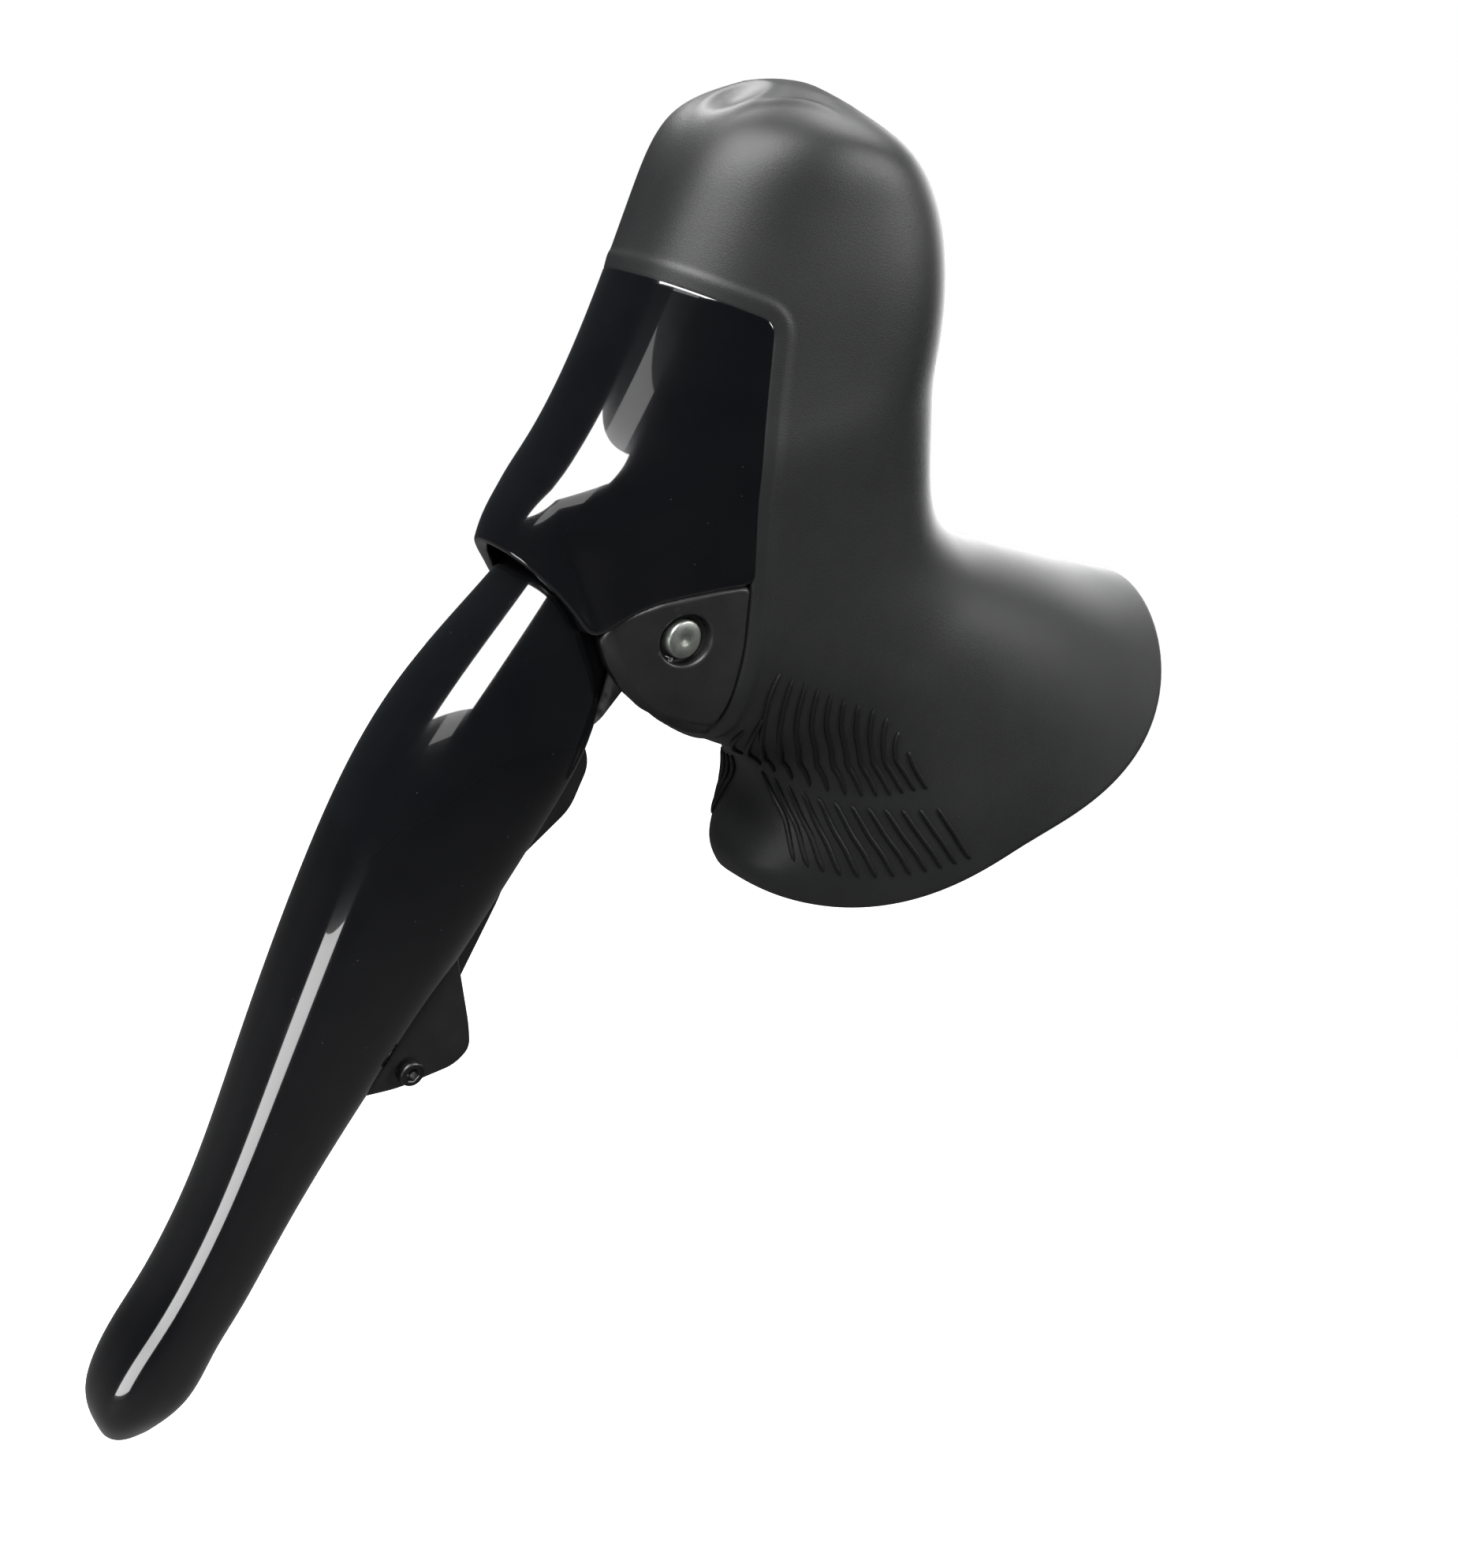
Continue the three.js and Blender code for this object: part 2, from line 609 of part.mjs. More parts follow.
bracket = bracket.subtract(clampBox(-wide, boltX + nutHalf + gap, -nutRoom, nutRoom, 0, nutHigh + gap));
bracket = bracket.subtract(rod(boltAt, outOfBend, boltRadius + gap, 10, 40));
bracket = bracket.subtract(rod(boltAt, outOfBend, boltHead + 0.4, boltSeat, 33));
bracket = bracket.subtract(clampBox(-wide, boltX, -boltHead - 0.4, boltHead + 0.4, boltSeat, 33));
const nut = clampBox(boltX - nutHalf, boltX + nutHalf, -nutHalf, nutHalf, nutLow, nutHigh);
add('clamp_nut', nut.subtract(rod(boltAt, outOfBend, boltRadius + 0.1, 5, 30)), ...steel);
const boltOrigin = boltAt.clone().addScaledVector(outOfBend, boltSeat + slideFit);
add('clamp_bolt', capScrew(boltOrigin, outOfBend, boltHead, 4, boltRadius,
  boltSeat - nutLow + 0.6, 2), ...steel);

// Hose port at the rear, running along the bar
const portAt = atClamp(3, 0, 19.6);
const portStart = 6;
const portRadius = 2.6;
const hoseNutRadius = 4.2;
const hoseRadius = 1.25;
bracket = bracket.subtract(rod(portAt, barwise, portRadius, -8, 30));
bracket = bracket.subtract(rod(portAt, barwise, hoseNutRadius + gap, portStart, 40));
add('hose_nut', turned(portAt, barwise, [
  [portRadius + 0.15, portStart + gap], [hoseNutRadius, portStart + gap],
  [hoseNutRadius, 15], [portRadius + 0.15, 15],
], 6), ...steel);
add('hose_olive', turned(portAt, barwise, [
  [hoseRadius, 0.6], [1.9, 0.6], [2.3, 2], [2.3, 3.4], [1.9, 5], [hoseRadius, 5],
], 20), ...[0xb08d4a, 0.35, 0.9]);
add('hose_insert', turned(portAt, barwise, [
  [0.5, -5], [2.2, -5], [2.2, -3.6], [0.95, -3.2], [0.95, 7], [0.5, 7],
], 16), ...steel);

// Axle, bushes and the small screw that locks the axle
add('lever_axle', turned(axleAt, sideUp, [
  [0, -axleHalf], [axleRadius - 0.4, -axleHalf], [axleRadius, 0.4 - axleHalf],
  [axleRadius, axleHalf - 0.4], [axleRadius - 0.4, axleHalf], [0, axleHalf],
]), ...steel);
const flangeIn = slotHalf - slideFit - bushFlange;
for (const [name, side] of [['axle_bush_inner', 1], ['axle_bush_outer', -1]]) {
  const inner = axleRadius + slideFit;
  add(name, turned(axleAt, sideUp, [
    [inner, side * bushInnerEnd], [bushOuter, side * bushInnerEnd], [bushOuter, side * flangeIn],
    [flangeRadius, side * flangeIn], [flangeRadius, side * (flangeIn + bushFlange)],
    [inner, side * (flangeIn + bushFlange)],
  ]), ...resin);
}
const grubAt = new THREE.Vector3(slotHalf + 0.95, axleY, axleZ - axleRadius - slideFit);
const grubRadius = 0.75;
const grubLength = 3;
bracket = bracket.subtract(rod(grubAt, upward, grubRadius + slideFit, -20, 0));
const grub = rod(grubAt, upward, grubRadius, -grubLength, 0, 16);
const grubSocket = rod(grubAt, upward, 0.4, -grubLength - 1, 1.2 - grubLength, 6);
add('axle_grub_screw', grub.subtract(grubSocket), ...steel);

// Piston, seals, push rod and circlip
const pistonRadius = boreRadius - slideFit;
const grooveRadius = boreRadius - 1.4;
const pistonLow = boreFloor + 3;
const cylinderAxis = new THREE.Vector3(0, boreY, 0);
function fromPiston(list) {
  return list.map(([r, h]) => [r, pistonLow + h]);
}
add('piston', turned(cylinderAxis, upward, fromPiston([
  [0, 3], [1.9, 3], [1.9, 0], [pistonRadius, 0], [pistonRadius, 2], [grooveRadius, 2],
  [grooveRadius, 4.4], [pistonRadius, 4.4], [pistonRadius, 10], [grooveRadius, 10],
  [grooveRadius, 12.4], [pistonRadius, 12.4], [pistonRadius, 14], [2.4, 14], [2.4, 16], [0, 16],
])), ...alloy);
for (const [name, h] of [['rear_seal', 2.2], ['pressure_seal', 10.2]]) {
  add(name, turned(cylinderAxis, upward, fromPiston([
    [grooveRadius + slideFit, h], [boreRadius - 0.05, h], [boreRadius - 0.05, h + 0.7],
    [boreRadius - 0.5, h + 1.9], [grooveRadius + slideFit, h + 1.9],
  ])), ...seal);
}
const rodRadius = rodDiameter / 2;
const ballRadius = 2;
const padTop = axleZ - 2;
const rodLow = padTop + gap;
const rodProfile = [[0, rodLow]];
for (let i = 1; i <= 6; i++) {
  const angle = i / 6 * Math.PI / 2;
  rodProfile.push([ballRadius * Math.sin(angle), rodLow + ballRadius * (1 - Math.cos(angle))]);
}
rodProfile.push([ballRadius, rodLow + 3], [rodRadius, rodLow + 4], [rodRadius, pistonLow + 2.2]);
rodProfile.push([rodRadius - 0.5, pistonLow + 2.8], [0, pistonLow + 2.8]);
add('push_rod', turned(cylinderAxis, upward, rodProfile), ...steel);
const clipRadius = boreRadius + 0.6;
const clipLow = boreFloor + 0.8;
const clipHigh = boreFloor + 1.7;
bracket = bracket.subtract(rod(cylinderAxis, upward, clipRadius + 0.2, clipLow - 0.2, clipHigh + 0.2, 32));
add('bore_circlip', turned(cylinderAxis, upward, [
  [3.1, clipLow], [clipRadius, clipLow], [clipRadius, clipHigh], [3.1, clipHigh],
]), ...steel);

// Coil spring along an axis. The two legs, where it has them, join its first and last turn.
function coil(centre, along, across, radius, wire, turns, start, end, legs = []) {
  const third = along.clone().cross(across);
  const points = [];
  const steps = Math.round(turns * 9);
  for (let i = 0; i <= steps; i++) {
    const angle = i / 9 * Math.PI * 2;
    const p = centre.clone().addScaledVector(along, start + (end - start) * i / steps);
    p.addScaledVector(across, radius * Math.cos(angle));
    points.push(p.addScaledVector(third, radius * Math.sin(angle)));
  }
  const path = new THREE.CatmullRomCurve3([...legs.slice(0, 1), ...points, ...legs.slice(1)]);
  return sweep(path, wire / 2, steps + legs.length * 2, 5);
}
const springWire = 0.8;
const springLow = pistonLow + 14 + springWire;
const springHigh = boreFloor + boreDepth - springWire;
add('piston_spring', coil(cylinderAxis, upward, sideUp, 3.5, springWire, 7, springLow, springHigh), ...steel);

const springHalf = 3.5;
const returnWire = 0.7;
const springRadius = axleRadius + 0.72;
add('return_spring', coil(axleAt, sideUp, upward, springRadius, returnWire, 6, -springHalf, springHalf, [
  new THREE.Vector3(-springHalf, axleY + 6.4, axleZ + springRadius + 1.4),
  new THREE.Vector3(springHalf, axleY - 4.6, axleZ + springRadius + 0.9),
]), ...steel);

// Lever base: boss, rear arm under the push rod, front arm inside the blade channel
function scaledDown(points) {
  return points.map(([y, z]) => [y, drop(z)]);
}
const boreInBoss = bushOuter + slideFit;
const bossRadius = boreInBoss + 2;
const armTail = axleY + cupOffset;
const rearArm = sidePlate([
  [axleY, axleZ - 6], [armTail + 2, axleZ - 6.6], [armTail + 3, axleZ - 5], [armTail + 3, padTop - 0.6],
  [armTail + 2, padTop], [armTail - 3, padTop], [axleY + 4, axleZ + 3], [axleY, axleZ + 6],
], -3.8, 3.8, 0.6);
const frontArmOutline = scaledDown([
  [axleY, axleZ + 5.8], [-62, 15.6], [-68, 12], [-73, 3], [-78, -8], [-82, -16], [-86, -24],
  [-70.2, -24], [-65.9, -14], [-62.3, -5.4], [-58, -1.5], [axleY + 1, axleZ - 6],
]);
const armFit = channel(bladeWall + gap, 0.06, 0.5);
const frontArm = sidePlate(frontArmOutline, -wide, wide, 0.8).intersect(armFit);
let base = rod(axleAt, sideUp, bossRadius, -bossHalf, bossHalf, 32);
base = base.add(rearArm).add(frontArm);
base = base.subtract(rod(axleAt, sideUp, boreInBoss, -wide, wide, 32));
const springRoom = springHalf + springWire;
base = base.subtract(block(-springRoom, springRoom, axleY - 8, axleY + 9, axleZ + 0.6, axleZ + 14));

const reachAxis = new THREE.Vector3(0, -0.32, 0.947).normalize();
const reachAt = new THREE.Vector3(0, -66.4, 8.4);
const reachRadius = 1.5;
base = base.subtract(rod(reachAt, reachAxis, reachRadius + slideFit, -5.4, 20));
const reach = rod(reachAt, reachAxis, reachRadius, -5, 1.6, 16);
add('reach_screw', reach.subtract(rod(reachAt, reachAxis, 0.85, 0.2, 4, 6)), ...steel);

// Forward position of the blade front at a height, at mid width
function bladeFront(z) {
  let best = bladeAt(0);
  for (let i = 1; i <= 60; i++) {
    const station = bladeAt(i / 60);
    if (Math.abs(station[1] - z) < Math.abs(best[1] - z)) {
      best = station;
    }
  }
  return best[0];
}

let blade = bladeOuter.subtract(channel(bladeWall, 0.05, 0.66));
blade = blade.subtract(rod(axleAt, sideUp, bossRadius + 0.4, -wide, wide, 32));
const bladeScrewRadius = 1.25;
for (const [row, y, z] of [['upper', -68, -7.5], ['lower', -72, -19.5]]) {
  const at = new THREE.Vector3(0, y, drop(z));
  const length = y - bladeFront(z) - bladeWall / 2;
  const hole = rod(at, backward, bladeScrewRadius + slideFit, -length - 0.2, 2, 16);
  base = base.subtract(hole).subtract(rod(at, backward, 2.5, -0.1, 16));
  blade = blade.subtract(hole);
  add(`blade_screw_${row}`, capScrew(at, backward, 2.2, 1.5, bladeScrewRadius, length, 1), ...steel);
}
add('lever_base', base, ...alloy);
add('lever_blade', blade, ...gloss);

// Switch housing behind the blade, its board, pin and screw, and the two shift buttons
const housingInner = 4.3 * widthScale;
const housingWall = -1.9;
const buttonFace = -7.4 * widthScale;
const buttonBack = buttonFace + 2.6;
const pinX = buttonFace + 3.1;
const pinZ = drop(-10.5);
const pinRadius = 1;
const lugRadius = 2.1;
const finOutline = scaledDown([
  [-68, -24.6], [-67.6, -29.5], [-60.3, -42.5], [-59, -45.6], [-60.6, -48], [-67.6, -51.4],
  [-75.5, -53.5], [-82, -52], [-82, -24.6],
]);
const headOutline = scaledDown([
  [-61.6, -6.2], [-58, -5], [-54.4, -6], [-52.8, -8.6], [-53.4, -14.5], [-58.6, -22], [-62.5, -30],
  [-66.5, -40], [-74, -40], [-78, -30], [-70, -24.6], [-65.4, -13.6],
]);
const housingFit = channel(bladeWall + gap, 0.1, 0.6);
const fin = sidePlate(finOutline, housingWall, housingInner, 0.8);
const head = sidePlate(headOutline, housingWall, 0.9, 0.8);
const housingPlate = fin.add(head);
const behindBlade = sidePlate(scaledDown([
  [-58.2, -2], [-56.9, -7], [-59.7, -18], [-64.3, -34], [-69.3, -51], [-71.2, -58], [-40, -58], [-40, -2],
]), -wide, wide);
let housing = housingPlate.intersect(housingFit.add(behindBlade));
const pinLine = new THREE.Vector3(pinX, 0, pinZ);
for (const [y0, y1] of [[-63, -62], [-54, -52.8]]) {
  housing = housing.add(rod(pinLine, backward, lugRadius, y0, y1, 20));
  housing = housing.add(block(pinX, 0, y0, y1, pinZ - lugRadius, pinZ + lugRadius));
}
housing = housing.subtract(rod(pinLine, backward, pinRadius + 0.1, -70, -40, 20));
add('switch_pin', rod(pinLine, backward, pinRadius, -62.8, -53, 20), ...steel);

const boardPocket = scaledDown([[-62.4, -16], [-59.4, -17], [-67, -38.5], [-70.4, -38.5]]);
const boardOutline = scaledDown([[-62, -16.6], [-59.9, -17.4], [-67.3, -38], [-69.9, -38]]);
housing = housing.subtract(sidePlate(boardPocket, housingWall - 1, housingWall + 1.6));
add('switch_board', sidePlate(boardOutline, housingWall + 0.4, housingWall + 1.3), ...boardGreen);

const screwAt = new THREE.Vector3(housingInner + 0.1, -67.4, drop(-48.6));
housing = housing.subtract(rod(screwAt, sideUp, 0.95, -12, 2, 16));
add('switch_screw', capScrew(screwAt, sideUp, 1.6, 1.5, 0.8, 5, 0.75), ...steel);
add('switch_housing', housing, ...resin);

const buttons = [
  ['front_shift_button', -61.7, -58.8, [
    [-60.9, -8.6], [-64, -18], [-67.8, -34], [-70.4, -46.5], [-66.4, -48], [-63.2, -35.5],
    [-60, -20], [-57.6, -8.6],
  ]],
  ['rear_shift_button', -57.2, -54.3, [
    [-57.1, -8.6], [-59.6, -20], [-62.8, -35.5], [-65.1, -45], [-60, -46.4], [-57.4, -43], [-55, -29],
    [-54.3, -15], [-54.3, -8.6],
  ]],
];
for (const [name, y0, y1, outline] of buttons) {
  const lugRoom = block(-wide, wide, -70, -61.7, pinZ - lugRadius - gap, 0);
  const plate = sidePlate(scaledDown(outline), buttonFace, buttonBack, 1).subtract(lugRoom);
  let button = plate.add(rod(pinLine, backward, lugRadius, y0, y1, 20));
  button = button.subtract(rod(pinLine, backward, pinRadius + slideFit, -70, -40, 20));
  add(name, button, ...resin);
}

add('bracket_body', bracket, ...resin);

export default group;
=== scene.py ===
import math

import bmesh
import bpy
import numpy as np
from mathutils import Matrix, Vector


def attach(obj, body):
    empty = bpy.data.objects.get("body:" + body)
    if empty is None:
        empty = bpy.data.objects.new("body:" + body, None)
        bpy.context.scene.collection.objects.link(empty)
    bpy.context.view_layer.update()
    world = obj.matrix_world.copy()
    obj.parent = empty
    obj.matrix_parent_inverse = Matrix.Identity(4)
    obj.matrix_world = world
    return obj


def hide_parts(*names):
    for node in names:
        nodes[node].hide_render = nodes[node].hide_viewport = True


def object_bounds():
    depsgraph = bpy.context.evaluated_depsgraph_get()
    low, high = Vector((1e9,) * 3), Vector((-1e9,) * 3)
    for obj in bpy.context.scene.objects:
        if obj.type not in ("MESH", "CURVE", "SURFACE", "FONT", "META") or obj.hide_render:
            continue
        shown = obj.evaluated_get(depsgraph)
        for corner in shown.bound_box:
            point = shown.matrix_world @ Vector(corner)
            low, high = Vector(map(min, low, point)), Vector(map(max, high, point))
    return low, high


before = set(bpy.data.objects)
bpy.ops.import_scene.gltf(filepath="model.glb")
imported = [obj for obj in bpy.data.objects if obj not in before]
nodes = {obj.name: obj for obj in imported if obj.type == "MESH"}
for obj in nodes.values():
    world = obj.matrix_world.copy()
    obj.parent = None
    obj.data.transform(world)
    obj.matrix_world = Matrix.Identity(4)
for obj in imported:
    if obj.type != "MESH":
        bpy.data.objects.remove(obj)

cadBox = [list(corner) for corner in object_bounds()]
mm = 0.001


# Camera, lights and room.
shot = {
    "place": (0.17117, -0.19289, 0.03156),
    "right": (0.6135, 0.7179, 0.3290),
    "up": (-0.3423, -0.1337, 0.9300),
    "back": (0.7117, -0.6832, 0.1637),
    "lens": 41.65,
}

camera = bpy.data.objects.new("studio_camera", bpy.data.cameras.new("studio_camera"))
bpy.context.scene.collection.objects.link(camera)
turn = Matrix((shot["right"], shot["up"], shot["back"])).transposed().to_4x4()
camera.matrix_world = Matrix.Translation(shot["place"]) @ turn
camera.data.lens = shot["lens"]
camera.data.sensor_width = 36
camera.data.clip_start = 0.01
camera.data.clip_end = 20
bpy.context.scene.camera = camera

middle = Vector((0, -0.045, -0.01))
lamps = {
    "key_box": {"at": (0.24, -0.70, 0.50), "size": (0.90, 0.46), "power": 27},
    "band_box": {"at": (0.36, -0.72, 0.24), "size": (0.40, 0.12), "power": 0.35},
    "low_box": {"at": (0.02, -0.80, -0.36), "size": (0.40, 0.22), "power": 2.4},
    "left_box": {"at": (-0.60, -0.18, 0.68), "size": (0.40, 0.40), "power": 9},
    "top_box": {"at": (-0.05, 0.20, 0.95), "size": (0.60, 0.40), "power": 9},
    "right_box": {"at": (0.72, 0.42, 0.58), "size": (0.40, 0.40), "power": 10},
    "rear_box": {"at": (-0.45, 0.90, 0.40), "size": (0.70, 0.60), "power": 9},
}
for name, lamp in lamps.items():
    data = bpy.data.lights.new(name, "AREA")
    data.shape = "RECTANGLE"
    data.size, data.size_y = lamp["size"]
    data.energy = lamp["power"]
    light = bpy.data.objects.new(name, data)
    light.visible_camera = False
    aim = middle - Vector(lamp["at"])
    light.matrix_world = Matrix.Translation(lamp["at"]) @ aim.to_track_quat("-Z", "Y").to_matrix().to_4x4()
    bpy.context.scene.collection.objects.link(light)

world = bpy.data.worlds.new("pale_room")
world.use_nodes = True
bpy.context.scene.world = world
skyTree = world.node_tree
sky = skyTree.nodes["Background"]
skyPath = skyTree.nodes.new("ShaderNodeLightPath")
seenMix, roomMix = skyTree.nodes.new("ShaderNodeMix"), skyTree.nodes.new("ShaderNodeMix")
for mix, seen, high in ((seenMix, "Is Camera Ray", (1.0, 1.0, 1.0, 1)),
                        (roomMix, "Is Glossy Ray", (0.045, 0.048, 0.052, 1))):
    mix.data_type = "RGBA"
    mix.inputs[7].default_value = high
    skyTree.links.new(skyPath.outputs[seen], mix.inputs[0])
seenMix.inputs[6].default_value = (0.80, 0.80, 0.80, 1)
skyTree.links.new(seenMix.outputs[2], roomMix.inputs[6])
skyTree.links.new(roomMix.outputs[2], sky.inputs["Color"])
bpy.context.scene.view_settings.view_transform = "Standard"
print("camera, lights and room ready")


# Shader groups and finishes.
def newGroup(name, inputs, outputs):
    tree = bpy.data.node_groups.new(name, "ShaderNodeTree")
    for label, kind, value in inputs:
        made = tree.interface.new_socket(label, in_out="INPUT", socket_type=kind)
        made.default_value = value
    for label, kind in outputs:
        tree.interface.new_socket(label, in_out="OUTPUT", socket_type=kind)
    return tree, tree.nodes.new("NodeGroupInput"), tree.nodes.new("NodeGroupOutput")


def addNode(tree, kind, links=None, **values):
    node = tree.nodes.new(kind)
    for label, value in values.items():
        setattr(node, label, value)
    for socket, value in (links or {}).items():
        if isinstance(value, bpy.types.NodeSocket):
            tree.links.new(value, node.inputs[socket])
        else:
            node.inputs[socket].default_value = value
    return node


def makeGrain():
    # Fine skin of a moulded or painted surface: two tones, a roughness spread and a height.
    tree, given, out = newGroup("moulded_skin", [
        ("Tone", "NodeSocketColor", (0.02, 0.02, 0.02, 1)),
        ("Pale Tone", "NodeSocketColor", (0.04, 0.04, 0.04, 1)),
        ("Blotch Scale", "NodeSocketFloat", 60),
        ("Grain Scale", "NodeSocketFloat", 3000),
        ("Rough Low", "NodeSocketFloat", 0.4),
        ("Rough High", "NodeSocketFloat", 0.6),
        ("Speck Amount", "NodeSocketFloat", 0.0),
    ], [("Color", "NodeSocketColor"), ("Roughness", "NodeSocketFloat"), ("Height", "NodeSocketFloat")])
    where = addNode(tree, "ShaderNodeTexCoord").outputs["Object"]
    blotch = addNode(tree, "ShaderNodeTexNoise",
                     {"Vector": where, "Scale": given.outputs["Blotch Scale"], "Detail": 5.0,
                      "Roughness": 0.6})
    grain = addNode(tree, "ShaderNodeTexNoise",
                    {"Vector": where, "Scale": given.outputs["Grain Scale"], "Detail": 3.0,
                     "Roughness": 0.55})
    speck = addNode(tree, "ShaderNodeTexVoronoi", {"Vector": where, "Scale": 900.0})
    dotMask = addNode(tree, "ShaderNodeMapRange",
                      {"Value": speck.outputs["Distance"], "From Min": 0.03, "From Max": 0.07, "To Min": 1.0,
                       "To Max": 0.0})
    sparse = addNode(tree, "ShaderNodeTexNoise", {"Vector": where, "Scale": 420.0, "Detail": 1.0})
    sparseMask = addNode(tree, "ShaderNodeMapRange",
                         {"Value": sparse.outputs["Fac"], "From Min": 0.60, "From Max": 0.66})
    dots = addNode(tree, "ShaderNodeMath", {0: dotMask.outputs["Result"], 1: sparseMask.outputs["Result"]},
                   operation="MULTIPLY")
    dotsUsed = addNode(tree, "ShaderNodeMath", {0: dots.outputs[0], 1: given.outputs["Speck Amount"]},
                       operation="MULTIPLY")
    spread = addNode(tree, "ShaderNodeMapRange",
                     {"Value": blotch.outputs["Fac"], "From Min": 0.3, "From Max": 0.7})
    tone = addNode(tree, "ShaderNodeMix", {0: spread.outputs["Result"], 6: given.outputs["Tone"],
                                            7: given.outputs["Pale Tone"]}, data_type="RGBA")
    dusted = addNode(tree, "ShaderNodeMix", {0: dotsUsed.outputs[0], 6: tone.outputs[2],
                                              7: (0.35, 0.35, 0.34, 1)}, data_type="RGBA")
    both = addNode(tree, "ShaderNodeMath", {0: spread.outputs["Result"], 1: grain.outputs["Fac"]},
                   operation="ADD")
    rough = addNode(tree, "ShaderNodeMapRange",
                    {"Value": both.outputs[0], "From Min": 0.2, "From Max": 1.7,
                     "To Min": given.outputs["Rough Low"], "To Max": given.outputs["Rough High"]})
    tree.links.new(dusted.outputs[2], out.inputs["Color"])
    tree.links.new(rough.outputs["Result"], out.inputs["Roughness"])
    tree.links.new(grain.outputs["Fac"], out.inputs["Height"])
    return tree


def makeWear():
    # Pale edges where handling has rubbed a finish, broken up by noise.
    tree, given, out = newGroup("edge_rub", [
        ("Color", "NodeSocketColor", (0.02, 0.02, 0.02, 1)),
        ("Worn", "NodeSocketColor", (0.1, 0.1, 0.1, 1)),
        ("Amount", "NodeSocketFloat", 0.4),
    ], [("Color", "NodeSocketColor"), ("Mask", "NodeSocketFloat")])
    where = addNode(tree, "ShaderNodeTexCoord").outputs["Object"]
    geometry = addNode(tree, "ShaderNodeNewGeometry")
    edge = addNode(tree, "ShaderNodeMapRange",
                   {"Value": geometry.outputs["Pointiness"], "From Min": 0.52, "From Max": 0.62})
    broken = addNode(tree, "ShaderNodeTexNoise", {"Vector": where, "Scale": 700.0, "Detail": 4.0})
    keep = addNode(tree, "ShaderNodeMapRange",
                   {"Value": broken.outputs["Fac"], "From Min": 0.4, "From Max": 0.6})
    mask = addNode(tree, "ShaderNodeMath", {0: edge.outputs["Result"], 1: keep.outputs["Result"]},
                   operation="MULTIPLY")
    used = addNode(tree, "ShaderNodeMath", {0: mask.outputs[0], 1: given.outputs["Amount"]},
                   operation="MULTIPLY")
    mixed = addNode(tree, "ShaderNodeMix", {0: used.outputs[0], 6: given.outputs["Color"],
                                             7: given.outputs["Worn"]}, data_type="RGBA")
    tree.links.new(mixed.outputs[2], out.inputs["Color"])
    tree.links.new(used.outputs[0], out.inputs["Mask"])
    return tree


grainGroup = makeGrain()
wearGroup = makeWear()


def grey(value, warm=0.0):
    return (value * (1 + warm), value, value * (1 - warm), 1)


def makeFinish(name, tones, rough, grainScale, bump, metallic=0.0, coat=0.0, coatRough=0.03, sheen=0.0,
               blotchScale=60.0, specks=0.0, worn=None, wornAmount=0.0, specular=0.5):
    material = bpy.data.materials.new(name)
    material.use_nodes = True
    tree = material.node_tree
    shader = tree.nodes["Principled BSDF"]
    shader.inputs["Metallic"].default_value = metallic
    shader.inputs["Coat Weight"].default_value = coat
    shader.inputs["Coat Roughness"].default_value = coatRough
    shader.inputs["Sheen Weight"].default_value = sheen
    shader.inputs["Sheen Roughness"].default_value = 0.45
    shader.inputs["Specular IOR Level"].default_value = specular
    skin = addNode(tree, "ShaderNodeGroup", node_tree=grainGroup)
    for label, value in {"Tone": tones[0], "Pale Tone": tones[1], "Blotch Scale": blotchScale,
                         "Grain Scale": grainScale, "Rough Low": rough[0], "Rough High": rough[1],
                         "Speck Amount": specks}.items():
        skin.inputs[label].default_value = value
    colour = skin.outputs["Color"]
    if worn:
        rub = addNode(tree, "ShaderNodeGroup", node_tree=wearGroup)
        rub.inputs["Worn"].default_value = worn
        rub.inputs["Amount"].default_value = wornAmount
        tree.links.new(colour, rub.inputs["Color"])
        colour = rub.outputs["Color"]
    relief = addNode(tree, "ShaderNodeBump",
                     {"Strength": 1.0, "Distance": bump, "Height": skin.outputs["Height"]})
    tree.links.new(colour, shader.inputs["Base Color"])
    tree.links.new(skin.outputs["Roughness"], shader.inputs["Roughness"])
    tree.links.new(relief.outputs["Normal"], shader.inputs["Normal"])
    return material


